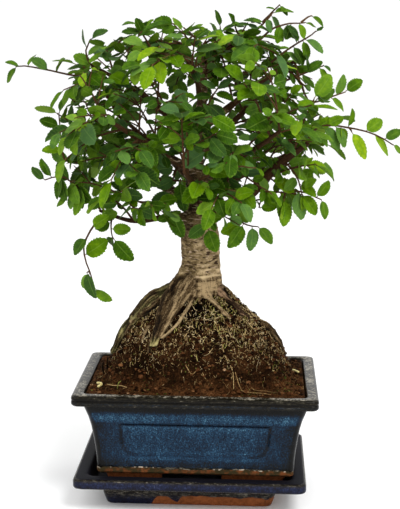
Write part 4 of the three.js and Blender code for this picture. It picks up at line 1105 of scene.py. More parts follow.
def soil_piece():
    wall = rings_up(SOIL_WALL, SIDE_DIFFERENCE, SOIL_CORNER, SOIL_MARKS)
    edge = rounded_ring(SOIL["half"], SOIL["half"] - SIDE_DIFFERENCE, SOIL_CORNER, *SOIL_MARKS)
    shares = np.concatenate([np.linspace(1, 0.9, 8)[:-1], np.linspace(0.9, 0.05, 78)])
    flat = np.concatenate([edge * share for share in shares])
    points = np.concatenate([wall, np.column_stack([flat, soil_surface(*flat.T)])])
    x, y, z = points.T
    tint = smoothstep(112, 99, z) * 0.35 + 0.35 * noise_at(points, 9, 55)
    tint -= 0.5 * smoothstep(138, 160, z)
    # Painted shade in the hollow under the front root's fork
    tint -= 1.5 * spot(x, y, SHADED_HOLLOW, (12, 6))
    shape = Shape("tint")
    ends = [[0, 0, SOIL_BOTTOM], [0, 0, SOIL_TOP]]
    shape.add_closed(points, len(SOIL_WALL) + len(shares), ends, tint=np.append(tint, [0, 0]))
    return shape.make("root_ball", [SOIL_MATTER], 180)


def spots_on_soil(rng, count, least_spread=0.3):
    """Random places on the soil, evenly over its slope, outside the trunk."""
    found = np.zeros((0, 2))
    while len(found) < count:
        x = rng.uniform(-1, 1, count * 2) * (SOIL["half"] - 1.5)
        y = rng.uniform(-1, 1, count * 2) * (SOIL["half"] - SIDE_DIFFERENCE - 1.5)
        spread = spread_from_trunk(x, y)
        steep = np.where(spread < 1, 0.45 + 0.55 * spread, 0.5)
        keep = (spread > least_spread) & (rng.uniform(0, 1, count * 2) < steep)
        found = np.concatenate([found, np.stack([x, y], 1)[keep]])
    return found[:count]


# Loose roots and stubs on the soil: points, radius and tint
LYING_BITS = [
    ([(31, -46, 99), (35, -48.5, 99), (40, -49, 99), (45, -51.5, 99), (52, -50, 98.5),
      (59, -52, 98)], 0.3, 0.66),
    ([(44, -45, 100), (50, -47, 99.5), (55, -45.5, 99), (62, -48, 98.5)], 0.28, 0.6),
    ([(-74, -6, 103), (-74.5, -7, 108), (-74, -7, 113)], 0.8, 0.0),
    ([(-77, -9, 100), (-78, -9, 105), (-77.5, -9, 109)], 0.9, 0.0),
    ([(-79.5, -33, 99), (-76.5, -35, 99.5), (-75.5, -39, 99.5), (-77.5, -42.5, 99)], 1.0, 0.98),
    ([(70, 12, 101), (74, 14, 100.5), (79, 12, 100), (82, 9, 99.5)], 0.9, 1.0),
    ([(-71, -36, 99), (-66, -39, 99), (-60, -39, 99), (-55, -42, 98.5)], 0.35, 0.75),
    ([(-8, -48, 101), (-3, -50, 100), (3, -49, 99.5), (8, -51, 99)], 0.3, 0.7),
    ([(20, -38, 118), (24, -43, 110), (29, -46, 105), (30, -50, 101)], 0.3, 0.8),
]
LYING_POINTS = 11
SPROUT = [(-62, -45, 98), (-61.6, -45.4, 101), (-60.6, -46, 103.6), (-59, -46.6, 105)]
SPROUT_RADII = [0.35, 0.4, 0.5, 0.25]
# A lump's corners and faces, before it is squashed
LUMP = np.array([(0, 0, 1), (0.9, 0, 0.4), (0.28, 0.85, 0.45), (-0.72, 0.53, 0.4),
                 (-0.72, -0.53, 0.45), (0.28, -0.85, 0.4), (0.72, 0.53, -0.45),
                 (-0.28, 0.85, -0.4), (-0.9, 0, -0.45), (-0.28, -0.85, -0.4),
                 (0.72, -0.53, -0.45), (0, 0, -1)])
LUMP_FACES = np.array([(0, 1, 2), (0, 2, 3), (0, 3, 4), (0, 4, 5), (0, 5, 1), (1, 6, 2),
                       (2, 7, 3), (3, 8, 4), (4, 9, 5), (5, 10, 1), (6, 7, 2), (7, 8, 3),
                       (8, 9, 4), (9, 10, 5), (10, 6, 1), (11, 7, 6), (11, 8, 7), (11, 9, 8),
                       (11, 10, 9), (11, 6, 10)])


def add_lumps(shape, rng, places, low, high, tints, flat=0.75):
    """Irregular lumps, half sunk into what they lie on."""
    count = len(places)
    size = low + (high - low) * rng.uniform(0, 1, count) ** 2
    squash = np.stack([rng.uniform(0.7, 1.4, count), rng.uniform(0.7, 1.4, count),
                       rng.uniform(0.6, 1, count) * flat], 1)
    turn = rng.uniform(0, 2 * np.pi, count)
    body = LUMP[None] * squash[:, None] * size[:, None, None]
    body = body * (1 + 0.18 * rng.standard_normal(body.shape[:2])[..., None])
    cos, sin = np.cos(turn)[:, None], np.sin(turn)[:, None]
    body = np.stack([body[..., 0] * cos - body[..., 1] * sin,
                     body[..., 0] * sin + body[..., 1] * cos, body[..., 2]], 2)
    points = places[:, None] + body
    shape.add(points.reshape(-1, 3), [repeated(LUMP_FACES, count, len(LUMP))],
              tint=np.repeat(tints, len(LUMP)))


def crumbs_piece():
    rng = np.random.default_rng(SEEDS["crumbs"])
    shape = Shape("tint")
    flat = spots_on_soil(rng, CRUMB_COUNT)
    places = np.column_stack([flat, soil_surface(*flat.T) - 0.1])
    low = smoothstep(135, 100, places[:, 2])
    # A few crumbs much paler, as painted glints
    tints = np.clip(rng.beta(1.3, 1.8, len(flat)) * 0.8 + 0.14 * low
                    + (rng.uniform(0, 1, len(flat)) < 0.02) * 0.3, 0, 1)
    add_lumps(shape, rng, places, 0.4, 2.3, tints)
    return shape.make("soil_crumbs", [CRUMBS], 30)


def walk_on_soil(rng, steps, step_length, wander, place, heading):
    """Lines over the soil. A heading is an angle from level in the plane of the slope."""
    count = len(place)
    lines = np.zeros((count, steps, 3))
    lift, phase = rng.uniform(0.2, 1.1, count), rng.uniform(0, 6.3, count)
    limit = np.array([SOIL["half"] - 0.8, SOIL["half"] - SIDE_DIFFERENCE - 0.8])
    for i in range(steps):
        rise = 0.4 + lift * (1 + np.sin(phase + i * 1.2))
        lines[:, i] = np.column_stack([place, soil_surface(*place.T, 0.3) + rise])
        heading = heading + rng.normal(0, wander, count)
        slope = soil_slope(*place.T)
        steep = np.linalg.norm(slope, axis=1)
        up = slope / np.maximum(steep, 1e-3)[:, None]
        level = np.stack([-up[:, 1], up[:, 0]], 1)
        step = (np.cos(heading)[:, None] * level
                + (np.sin(heading) / np.hypot(1, steep))[:, None] * up)
        place = np.clip(place + step * step_length[:, None], -limit, limit)
    return lines


# Groups of fine roots: how many, points in each, step, least and most radius, how much
# they turn at each step, how strictly they run down the slope, the spread from the trunk
# within which they start, and the share that is pale
FIBRE_GROUPS = [(3300, 4, 0.85, 0.11, 0.21, 0.6, 0.0, 1.05, 0.42),
                (5000, 3, 0.6, 0.14, 0.27, 0.5, 0.0, 1.1, 0.55),
                (900, 4, 1.0, 0.18, 0.36, 0.5, 0.0, 0.9, 0.15),
                (480, 9, 1.4, 0.11, 0.18, 0.42, 0.4, 1.0, 0.5),
                (50, 14, 2.1, 0.13, 0.21, 0.45, 0.7, 0.85, 0.5)]


def fibres_piece():
    rng = np.random.default_rng(SEEDS["fibres"])
    shape = Shape("tint", "green")
    for count, steps, length, low, high, wander, strict, reach, pale in FIBRE_GROUPS:
        place = spots_on_soil(rng, count * 3, 0.3)
        spread = spread_from_trunk(*place.T)
        keep = rng.uniform(0, 1, len(place)) < np.where(spread < reach * 0.8, 1, 0.3)
        place = place[keep & (spread < reach + 0.25)][:count]
        count = len(place)
        heading = rng.uniform(-np.pi, np.pi, count)
        down = -np.pi / 2 + rng.normal(0, 0.5, count)
        heading = np.where(rng.uniform(0, 1, count) < strict, down, heading)
        lines = walk_on_soil(rng, steps, rng.uniform(0.6, 1.4, count) * length, wander, place,
                             heading)
        clear = clear_of_roots(lines[:, steps // 2])
        lines = lines[clear > rng.uniform(-0.2, 1.2, count)]
        count = len(lines)
        radii = rng.uniform(low, high, count)[:, None] * np.linspace(1, 0.45, steps)[None]
        x, y, height = lines[:, 0].T
        pale = pale + 0.3 * smoothstep(120, 148, height) + 0.12 * smoothstep(15, 45, x)
        is_pale = rng.uniform(0, 1, count) < pale
        tint = np.where(is_pale, 0.5 + 0.5 * rng.uniform(0, 1, count) ** 0.75,
                        rng.beta(1.1, 2.2, count) * 0.6)
        tint *= 1 - 0.6 * smoothstep(116, 99, height) * rng.uniform(0, 1, count) ** 0.5
        # In the hollow under the front root's fork most fibres are painted dark as shade, the rest
        # pale
        hollow = spot(x, y, SHADED_HOLLOW, (11, 6))
        tint = np.where(hollow > 0.5, np.where(rng.uniform(0, 1, count) < 0.4, 1, 0.05), tint)
        heart = spot(x, y, MOSS_HEART, (14, 12))
        green = (rng.uniform(0, 1, count) < 0.08 + 0.6 * heart) * rng.uniform(0.3, 1, count)
        radii *= np.where((tint > 0.85) & (height > 130), 1.3, 0.9)[:, None]
        strands(shape, lines, radii, 3, tint=np.clip(tint, 0, 1), green=green)
    for points, radius, tint in LYING_BITS:
        line = resample(smooth(points, 4), LYING_POINTS)
        line[:, 2] = np.maximum(line[:, 2], soil_surface(line[:, 0], line[:, 1]) + 0.4)
        width = radius * (1 + 0.15 * np.sin(np.arange(LYING_POINTS) * 2.1))
        strands(shape, line[None], width[None], 6, tint=tint, green=0.35 * (tint > 0.9))
    return shape.make("fine_roots", [FIBRES], 180)


def moss_piece():
    rng = np.random.default_rng(SEEDS["moss"])
    shape = Shape("tint")
    heart = spots_on_soil(rng, 70, 0.3)
    heart = heart[np.argsort(np.hypot(heart[:, 0] - 16, heart[:, 1] + 20))[:34]]
    flat = (heart[:, None] + rng.normal(0, 2.6, (len(heart), 14, 2))).reshape(-1, 2)
    flat = np.concatenate([flat, spots_on_soil(rng, 60, 0.35)])
    places = np.column_stack([flat, soil_surface(*flat.T) + 0.1])
    places = places[clear_of_roots(places) > 0.4]
    add_lumps(shape, rng, places, 0.3, 0.95, rng.beta(1.2, 2, len(places)), 0.9)
    strands(shape, np.array([SPROUT], float), np.array([SPROUT_RADII]), 5, tint=1.0)
    return shape.make("moss", [MOSS], 60)


# Wood

WOOD_GRID = 0.95
TUBE_SIDES = {"trunk": 40, "root": 16, "branch": 12}
# How much of each branch grows out of the trunk's own skin
JOINED_SHARE = 0.34
# Where the trunk's bark ends: the heights between which it gives way to root, the dark line
# along its edge, and the height below which a surface root has none
BARK_END = {"top": 185, "low": 180, "line": 181.5, "roots": 182}


def flutes(angle, ring):
    """How far the trunk swells at an angle round it, more near its foot."""
    flare = max(0, 1 - ring / 8)
    return 1 + 0.02 * np.cos(3 * angle + 1) + 0.09 * flare * np.cos(5 * angle + 0.6)


def wood_tube(shape, line, radii, sides, scale=None):
    """One limb as a closed tube, ready to be joined with its neighbours. The trunk has a
    scale, a function of the angle and the ring, and starts a quarter turn round."""
    tangent = unit(np.gradient(line, axis=0))
    across = unit(np.cross(tangent[0], (0, 1, 0) if abs(tangent[0][1]) < 0.9 else (1, 0, 0)))
    across = np.cross(across, tangent[0]) * -1 if scale else across
    rows = []
    angle = 2 * np.pi * np.arange(sides) / sides
    for i, (point, t) in enumerate(zip(line, tangent)):
        across = unit(across - t * (across @ t))
        other = np.cross(t, across)
        radius = radii[i] * (scale(angle, i) if scale else 1)
        rows.append(point + np.outer(radius * np.cos(angle), across)
                    + np.outer(radius * np.sin(angle), other))
    ends = [line[0] - tangent[0] * radii[0] * 0.5, line[-1] + tangent[-1] * radii[-1] * 0.7]
    shape.add_closed(np.concatenate(rows), len(rows), ends)


def grain_along(points, limbs):
    """Each point's place in the frame of the limb that it is nearest to, two distances
    across it and one along it, apart for each limb, and that limb's number."""
    middles, tangents, radii, lengths, numbers = [], [], [], [], []
    for number, (path, radius) in enumerate(limbs):
        middles.append(path)
        tangents.append(unit(np.gradient(path, axis=0)))
        radii.append(radius)
        steps = np.linalg.norm(np.diff(path, axis=0), axis=1)
        lengths.append(np.concatenate([[0], np.cumsum(steps)]))
        numbers.append(np.full(len(path), number))
    middles, tangents = np.concatenate(middles), np.concatenate(tangents)
    radii, lengths, numbers = (np.concatenate(part) for part in (radii, lengths, numbers))
    nearest_one = np.zeros(len(points), int)
    at_once = 4000
    for start in range(0, len(points), at_once):
        part = points[start:start + at_once]
        gap = np.linalg.norm(part[:, None] - middles[None], axis=2) - radii[None]
        nearest_one[start:start + at_once] = gap.argmin(axis=1)
    tangent = tangents[nearest_one]
    off = points - middles[nearest_one]
    along = (off * tangent).sum(axis=1)
    reference = np.where(np.abs(tangent[:, 2:]) > 0.8, [[1.0, 0, 0]], [[0, 0, 1.0]])
    across = unit(reference - tangent * (reference * tangent).sum(axis=1)[:, None])
    other = np.cross(tangent, across)
    number = numbers[nearest_one]
    local = np.column_stack([(off * across).sum(axis=1) + 40 * number,
                             (off * other).sum(axis=1), lengths[nearest_one] + along])
    return local, number


def joined_wood():
    """Trunk, surface roots and the first part of each branch, joined into one skin: its
    mesh, points and normals, with the middle lines and radii of trunk and roots."""
    shape = Shape()
    stations = np.array(TRUNK, float)
    line = smooth(stations[:, :3], 4)
    radii = smooth(stations[:, [3, 3, 3]], 4)[:, 0]
    wood_tube(shape, line, radii, TUBE_SIDES["trunk"], lambda angle, i: flutes(angle, i / 4))
    limbs = [(line, radii)]
    for path, radius in root_limbs():
        wood_tube(shape, path, radius, TUBE_SIDES["root"])
        limbs.append((path, radius))
    for points, start, end in BRANCHES:
        path = smooth(points, 6)
        spread = np.linspace(0, 1, len(path))
        radius = (start + (end - start) * spread) * (1 + 0.35 * np.exp(-spread * 14))
        keep = max(4, int(len(path) * JOINED_SHARE))
        wood_tube(shape, path[:keep], radius[:keep], TUBE_SIDES["branch"])
    raw = shape.make("wood_raw", [BARK])
    remesh = raw.modifiers.new("Joined", "REMESH")
    remesh.mode = "VOXEL"
    remesh.voxel_size = WOOD_GRID * MM
    relax = raw.modifiers.new("Eased", "SMOOTH")
    relax.factor = 0.5
    relax.iterations = 2
    mesh, points, normals = evaluated(raw)
    bpy.data.objects.remove(raw)
    return mesh, points, normals, limbs


def trunk_piece():
    mesh, points, normals, limbs = joined_wood()
    z = points[:, 2]
    local, limb = grain_along(points, limbs)
    names = ["trunk", *ROOTS]

    def on(*roots):
        """Whether each point is nearest to one of these roots."""
        return np.isin(limb, [names.index(root) for root in roots])
    # The trunk and the roots that start on it in front and at its sides
    main = limb < names.index("stub")
    bark_end = z + 4 * noise_at(points, 7, 12)
    root = smoothstep(BARK_END["top"], BARK_END["low"], bark_end)
    root = np.where((limb > 0) & (z < BARK_END["roots"]), np.maximum(root, 0.75), root)
    upper = smoothstep(226, 250, z)
    ridge = noise_at(local, (1.9, 1.9, 16), 13) + 0.6 * noise_at(local, (1.0, 1.0, 8), 18)
    swirl = noise_at(points, 6, 14)
    knobs = noise_at(points, 2.3, 16)
    rings = noise_at(points, (7, 7, 1.2), 15) * (1 + smoothstep(206, 196, z))
    collar = smoothstep(192, 184, z) * smoothstep(168, 176, z) * main * ~on("swelling")
    wrinkled = collar * smoothstep(-4, 4, points[:, 0])
    ridge = ridge * (1 - 0.65 * wrinkled)
    relief = root * (0.95 * ridge + 0.35 * swirl + 0.3 * knobs)
    relief += (1 - root) * (0.3 * rings + 0.35 * swirl + 0.12 * noise_at(points, 1.6, 17))
    relief += 0.5 * collar * noise_at(points, (4, 4, 1.5), 20)
    relief *= 1 - 0.5 * upper
    points = points + normals * relief[:, None]
    mesh.vertices.foreach_set("co", (points * MM).astype(np.float32).ravel())
    mesh.update()
    above = z - soil_height(points[:, 0], points[:, 1])
    # Paler on the roots' ridges and darker in their crevices: painted highlight and shade that
    # follow the relief
    shade = root * (0.9 * ridge + 0.2 * knobs + 0.2 * swirl + 0.05)
    # Painted shade where a root meets the soil
    shade -= 1.3 * (limb > 0) * smoothstep(3.2, 0.6, above)
    shade += wrinkled * (0.35 + 0.5 * rings)
    # A painted highlight down the front root's ridge, with painted shade on its left side
    from_ridge = points[:, 0] - np.interp(z, *np.array(FRONT_RIDGE).T)
    front = on("front", "front_inner")
    shade += front * (z > 140) * (0.75 * hump(from_ridge, 0, 1.7) * (z < 173)
                                  - 0.45 * smoothstep(-2.5, -6.5, from_ridge))
    shade += 0.95 * on("thin") * (z < 166)
    shade -= 0.35 * hump(bark_end, BARK_END["line"], 1.5)
    shade += (0.7 + 0.4 * knobs) * on("right_front", "swelling") * (z > 150)
    shade -= 0.1 * on("right") * (z > 146)
    patch = spot(points[:, 0], z, (6, 172.5), (12, 6.5))
    shade += (1.05 + 0.6 * rings) * patch * (points[:, 1] < -4) * main
    shade -= 0.35 * on("left") + 0.25 * on("left_front") + 0.3 * on("right_foot")
    shade += 0.85 * front * smoothstep(139, 134, z)
    # On the trunk's bark: its swirls and rings, with painted shade down its left side and painted
    # light on its right
    shade += (1 - root) * (0.45 * swirl + 0.3 * rings
                           - 0.35 * smoothstep(-4, -13, points[:, 0] + 0.4 * points[:, 1])
                           + 0.2 * smoothstep(2, 12, points[:, 0]))
    shade -= 0.9 * smoothstep(212, 240, z + 3 * noise_at(points, 8, 19))
    shade = np.clip(shade, -1.6, 1.4)
    green = on("left") * (0.5 + 0.6 * swirl) + 0.5 * on("left_front") * (knobs > 0.2)
    green = green + 0.5 * front * smoothstep(140, 135, z)
    green = np.clip(green, 0, 0.85) * root
    purple = 0.7 * on("right") + 0.25 * on("left")
    set_values(mesh, {"root": root, "shade": shade, "green": green, "purple": purple * root,
                      "grain_x": local[:, 0], "grain_y": local[:, 1], "grain_z": local[:, 2]})
    mesh.polygons.foreach_set("use_smooth", np.ones(len(mesh.polygons), bool))
    mesh.materials.clear()
    mesh.materials.append(BARK)
    return in_scene("trunk_and_roots", mesh)


def branches_piece():
    shape = Shape("tint")
    for number, (points, start, end) in enumerate(BRANCHES):
        path = resample(smooth(points, 6), 34)
        spread = np.linspace(0, 1, len(path))
        shift = wobble(path, 16, 200 + number * 3)
        path = path + shift * (0.9 * np.sin(np.pi * spread))[:, None]
        radius = (start + (end - start) * spread) * (0.97 + 0.09 * noise_at(path, 5, 17))
        strands(shape, path[None], radius[None], 10, tint=0.12 + 0.1 * math.sin(number * 2.3))
    return shape.make("branches", [TWIG_BARK], 60)


# Leaves

LEAF_PROFILE = [(0, 0), (0.05, 0.36), (0.12, 0.64), (0.22, 0.84), (0.36, 0.97), (0.5, 1.0),
                (0.64, 0.96), (0.76, 0.84), (0.87, 0.61), (0.95, 0.34), (1, 0)]
STALK_SHARE = 0.09
# How many faces of each ring are on a leaf's upper side
UPPER_QUADS = 4
# How leaves differ: half width as a share of the length, arch and fold as shares of those in
# LEAF, and the height in mm of the waves along the edge
VARIETY = {"half": (0.26, 0.34), "arch": (0.4, 2.2), "fold": (0.4, 2.2), "wave": (0.1, 0.55)}
# Rings round a stalk and a blade, anticlockwise from the right edge: across and thickness.
# The full one is for the leaves that the solids have, the slim one for the small ones added
FULL_LEAF = {"teeth": 8, "round": [(1, 0), (0.7, 0.7), (0, 1), (-0.7, 0.7), (-1, 0), (-0.7, -0.7),
                                   (0, -1), (0.7, -0.7)],
             "blade": [(1, 0), (0.52, 0.8), (0, 0.7), (-0.52, 0.8), (-1, 0), (-0.52, -0.8),
                       (0, -2.0), (0.52, -0.8)]}
SLIM_LEAF = {"teeth": 6, "round": [(1, 0), (0.5, 0.87), (-0.2, 1), (-0.8, 0.6), (-1, 0), (0, -1)],
             "blade": [(1, 0), (0.52, 0.8), (0, 0.7), (-0.52, 0.8), (-1, 0), (0, -1.6)]}


def leaf_template(kind):
    """Rings of a leaf from its stalk to near its tip: shares along and across, thickness in
    mm, whether each ring is stalk, and the pleat between side veins."""
    stalk_v, stalk_w = np.array(kind["round"]).T
    blade_v, blade_w = np.array(kind["blade"]).T
    edge = np.abs(blade_v) == 1
    along, across, thick, stalk, pleat = [], [], [], [], []
    for u, radius in ((0.0, 0.42), (STALK_SHARE * 0.9, 0.30)):
        along.append(np.full(len(stalk_v), u))
        across.append(stalk_v * radius)
        thick.append(stalk_w * radius)
        stalk.append(1.0)
        pleat.append(0.0)
    profile_u, profile_v = np.array(LEAF_PROFILE).T
    for k in range(kind["teeth"]):
        for part, out, forward in ((0.08, 0.93, 0.0), (0.74, 1.07, 0.042)):
            share = (k + part) / (kind["teeth"] + 0.35)
            half = np.interp(share + forward * 0.5, profile_u, profile_v)
            along.append(STALK_SHARE + (1 - STALK_SHARE) * (share + forward * edge))
            across.append(blade_v * max(half * out, 0.06))
            thick.append(blade_w * (0.17 - 0.09 * share))
            stalk.append(0.0)
            pleat.append(1.0 if part < 0.5 else -1.0)
    return (np.array(along), np.array(across), np.array(thick), np.array(stalk)[:, None],
            np.array(pleat)[:, None])


def add_leaves(shape, leaves, kind, seed):
    """Every leaf is its base, the way it points, its upper side's normal, length and tint."""
    if not leaves:
        return
    rng = np.random.default_rng(seed)
    count = len(leaves)
    base, axis, normal = (np.array([leaf[n] for leaf in leaves]) for n in range(3))
    length, tint = (np.array([leaf[n] for leaf in leaves]) for n in (3, 4))
    along, across, thick, stalk, pleat = leaf_template(kind)
    rings, round_count = along.shape
    blade_v = np.array(kind["blade"])[:, 0]
    half = length * rng.uniform(*VARIETY["half"], count)
    arch = LEAF["arch"] * rng.uniform(*VARIETY["arch"], count)
    fold = LEAF["fold"] * rng.uniform(*VARIETY["fold"], count)
    bend = rng.normal(0, 0.05, count)
    twist = rng.normal(0, 0.22, count)
    wave, phase = rng.uniform(*VARIETY["wave"], count), rng.uniform(0, 6.3, count)
    side = np.cross(axis, normal)
    u = along[None] * length[:, None, None]
    share = along[None] - STALK_SHARE
    width = np.where(stalk[None] > 0, 1.0, half[:, None, None])
    v = across[None] * width
    flat = np.abs(v) / half[:, None, None]
    w = thick[None] + (fold * half)[:, None, None] * (1.15 * flat - 0.35 * flat ** 2)
    w = w - (arch / length)[:, None, None] * u ** 2
    w = w + wave[:, None, None] * np.sin(phase[:, None, None] + 7.5 * share) * flat
    w = w + pleat[None] * 0.13 * (np.abs(blade_v) == 0.52)
    v = v + (bend * length)[:, None, None] * np.maximum(share, 0) ** 2
    turn = twist[:, None, None] * np.maximum(share, 0)
    v, w = v * np.cos(turn) - w * np.sin(turn), v * np.sin(turn) + w * np.cos(turn)
    points = (base[:, None, None] + axis[:, None, None] * u[..., None]
              + side[:, None, None] * v[..., None] + normal[:, None, None] * w[..., None])
    tip_v, tip_w = bend * length * 0.85, -arch * length * 1.02
    tip = (base + axis * (length * 1.02)[:, None] + side * tip_v[:, None]
           + normal * tip_w[:, None])
    block = np.concatenate([points.reshape(count, -1, 3), base[:, None] - axis[:, None] * 0.3,
                            tip[:, None]], axis=1)
    each = block.shape[1]
    quads = grid_faces(rings, round_count)[:, ::-1]
    column = np.arange(len(quads)) % round_count
    row = np.arange(len(quads)) // round_count
    start, end = (fan[:, ::-1] for fan in fans(rings, round_count, each - 2, each - 1))
    shares = np.clip(share / (1 - STALK_SHARE), 0, 1)
    values = {
        "along": np.broadcast_to(np.append(shares.ravel(), [0, 1]), (count, each)).ravel(),
        "side": np.broadcast_to(np.append(np.tile(blade_v, rings), [0, 0]),
                                (count, each)).ravel(),
        "tint": np.repeat(tint, each),
        "bloom": np.repeat(0.7 * rng.beta(0.5, 4.0, count), each)}
    upper = column < UPPER_QUADS
    blade = row >= 1
    groups = [(quads[blade & upper], 0), (quads[blade & ~upper], 1), (quads[~blade], 2),
              (start, 2), (end[:UPPER_QUADS], 0), (end[UPPER_QUADS:], 1)]
    first_point = shape.count
    shape.add(block.reshape(-1, 3), [], **values)
    for group, slot in groups:
        shape.add_faces(repeated(group, count, each), slot, first_point)


# Crown: the same twigs and leaves as the solids have, and more between them

def turned_about(vector, axis, degrees):
    angle = math.radians(degrees)
    return (vector * math.cos(angle) + np.cross(axis, vector) * math.sin(angle)
            + axis * (axis @ vector) * (1 - math.cos(angle)))


def leaf_place(site, tilt, outward=1.3, loose=0.5):
    """A leaf's base, the way it points, its upper side's normal and its length."""
    base, along, lean, jitter, length = site
    axis = turned_about(lean, along, tilt)
    sky = UP + outward * unit(base - CROWN["centre"]) + loose * jitter
    return base, axis, unit(sky - axis * (sky @ axis)), length


def leaf_site(line, share, side, draw):
    """Where a leaf starts, along what, which way it leans, its looseness and its length."""
    point, direction = along_line(line, share)
    sideways = unit(np.cross(direction, UP))
    jitter = np.array([draw() - 0.5, draw() - 0.5, draw() - 0.5])
    lean = direction + sideways * side * (1.3 + 0.5 * draw())
    lean = unit(lean + UP * (-0.35 - 0.35 * draw()) + jitter * 0.6)
    return point, direction, lean, jitter, LEAF["length"] * (0.8 + 0.35 * draw())


BRANCH_LINES = [smooth(points, 4) for points, _, _ in BRANCHES]


def attachment(tip, used):
    """The place on a branch from which a spray reaches its tip with the least cost."""
    best, place = None, None
    for line in BRANCH_LINES:
        for i in range(ATTACH["first"], len(line)):
            point = line[i]
            direction = unit(point - line[i - 1])
            reach = tip - point
            distance = np.linalg.norm(reach)
            crowd = sum(1 for other in used if np.linalg.norm(other - point) < ATTACH["near"])
            cost = (distance + ATTACH["turn_cost"] * (1 - direction @ reach / distance)
                    + ATTACH["near_cost"] * crowd
                    + (ATTACH["short_cost"] if distance < ATTACH["shortest"] else 0))
            if best is None or cost < best:
                best, place = cost, point
    used.append(place)
    return place


def side_twig(stem, share, side, draw):
    point, direction = along_line(stem, share)
    sideways = unit(np.cross(direction, UP))
    lean = unit(direction * 0.7 + sideways * side + UP * 0.9 * (draw() - 0.45))
    end = point + lean * SIDE_TWIG["length"] * (0.8 + 0.5 * draw())
    middle = (point + end) / 2 + UP * SIDE_TWIG["rise"]
    line = np.array([point, middle, end])
    sites = [leaf_site(line, at, side if i % 2 else -side, draw)
             for i, at in enumerate(SIDE_TWIG["nodes"])]
    return {"line": line, "sites": [leaf_site(line, 1, 0, draw)] + sites}


def ruled_spray(index, count, used, seed=SEED, lowest=CROWN["lowest"], near=0.86, span=0.12):
    """A spray from a branch to one of count places spread evenly over the crown."""
    draw = random_from(seed + 101 * index)
    height = 1 - (1 - lowest) * (index + 0.5) / count
    angle = index * math.pi * (3 - math.sqrt(5)) + 0.5 * (draw() - 0.5)
    around = math.sqrt(1 - height * height)
    way = np.array([math.cos(angle) * around, math.sin(angle) * around, height])
    scale = (np.abs(way) ** CROWN["power"]).sum() ** (-1 / CROWN["power"])
    tip = CROWN["centre"] + way * scale * (near + span * draw()) * CROWN["half"]
    start = attachment(tip, used)
    total = np.linalg.norm(tip - start)
    middle = (start + tip) / 2 + UP * SPRAY["bow"] * total * (0.4 + draw())
    line = smooth([start, middle, tip], 2)
    number = max(SPRAY["fewest"], int(total * (1 - SPRAY["first"]) / SPRAY["node_step"] + 0.5))
    side = 1 if draw() < 0.5 else -1
    sites, twigs = [], []
    for i in range(number):
        share = SPRAY["first"] + (SPRAY["last"] - SPRAY["first"]) * (i + 0.2 * draw()) / number
        if i % 2 == 0 and i < number - 1:
            twigs.append(side_twig(line, share, side, draw))
        else:
            sites.append(leaf_site(line, share, side, draw))
        side = -side
    sites.insert(0, leaf_site(line, 1, 0, draw))
    return {"line": line, "sites": sites, "twigs": twigs}


def long_twig(points, leaves):
    line = smooth(points, 2)
    sites = []
    for share, *reach in leaves:
        point, direction = along_line(line, share)
        reach = np.array(reach, float)
        sites.append((point, direction, unit(reach), np.array([0, -2.2, 0]),
                      np.linalg.norm(reach)))
    return {"line": line, "sites": sites, "twigs": []}


def points_of(node_name):
    """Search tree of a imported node's corners, in mm."""
    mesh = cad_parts[node_name].data
    tree = KDTree(len(mesh.vertices))
    for i, vertex in enumerate(mesh.vertices):
        tree.insert(vertex.co / MM, i)
    tree.balance()
    return tree


def nearest(tree, point):
    return tree.find(Vector(point))[2]


def front_view(point):
    """Where a point shows on the upright plane through the trunk, seen from the front."""
    eye = np.array(CAMERA_PLACE)
    x, _, z = eye + (point - eye) * (-eye[1] / (point[1] - eye[1]))
    return x, z


def within_edge(x, z):
    """Whether a place seen from the front is inside the crown's edge."""
    inside = False
    for (x1, z1), (x2, z2) in zip(CROWN_EDGE, CROWN_EDGE[1:] + CROWN_EDGE[:1]):
        if (z1 > z) != (z2 > z) and x < x1 + (z - z1) * (x2 - x1) / (z2 - z1):
            inside = not inside
    return inside


class Crown:
    """The middles of all leaves so far, from which new ones stay apart."""

    def __init__(self):
        self.middles = np.zeros((0, 3))

    def is_free(self, leaf, apart):
        base, axis, normal, length = leaf
        middle = base + axis * length * LEAF["middle"]
        if len(self.middles) and np.linalg.norm(self.middles - middle, axis=1).min() < apart:
            return False
        for point in (middle, base + axis * length):
            x, z = front_view(point)
            if not within_edge(x, z):
                return False
            if any(math.hypot(x - gap_x, z - gap_z) < radius for gap_x, gap_z, radius in SKY_GAPS):
                return False
            across = abs(point[1]) / CROWN_DEPTH["half"]
            up = abs(point[2] - CROWN_DEPTH["middle_z"]) / CROWN_DEPTH["half_z"]
            if across ** CROWN["power"] + up ** CROWN["power"] > 1:
                return False
        return True

    def keep(self, leaf):
        base, axis, _, length = leaf
        self.middles = np.concatenate([self.middles, [base + axis * length * LEAF["middle"]]])


def solid_leaves(tree, twig, crown):
    """The leaves of a planned twig that the solids really have."""
    for site in twig["sites"]:
        for tilt in TILTS:
            leaf = leaf_place(site, tilt)
            base, axis, normal, length = leaf
            tip = base + axis * length - normal * LEAF["arch"] * length
            if nearest(tree, tip) < SAME_PLACE["leaf"]:
                twig["leaves"].append(leaf)
                crown.keep(leaf)
                break


def shorter(leaf, share):
    return (*leaf[:3], leaf[3] * share)


def extra_leaves(twig, shares, crown, rng, apart):
    """More leaves along a twig, each on the side that has room for it."""
    side = 1 if rng.random() < 0.5 else -1
    for share in shares:
        for way in (side, -side):
            site = leaf_site(twig["line"], share, way, rng.random)
            outward = 1.3 - 1.0 * smoothstep(290, 350, site[0][2])
            leaf = leaf_place(site, rng.uniform(-60, 60), outward, loose=2.2)
            leaf = shorter(leaf, rng.uniform(*SMALL_LENGTHS["extra"]))
            if crown.is_free(leaf, apart):
                twig["added"].append(leaf)
                crown.keep(leaf)
                break
        side = -side


def added_twig(points, leaves, crown):
    """A twig that only this scene has, with all its leaves."""
    twig = long_twig(points, leaves)
    twig["leaves"], twig["added"] = [leaf_place(site, 0) for site in twig["sites"]], []
    for leaf in twig["leaves"]:
        crown.keep(leaf)
    return twig


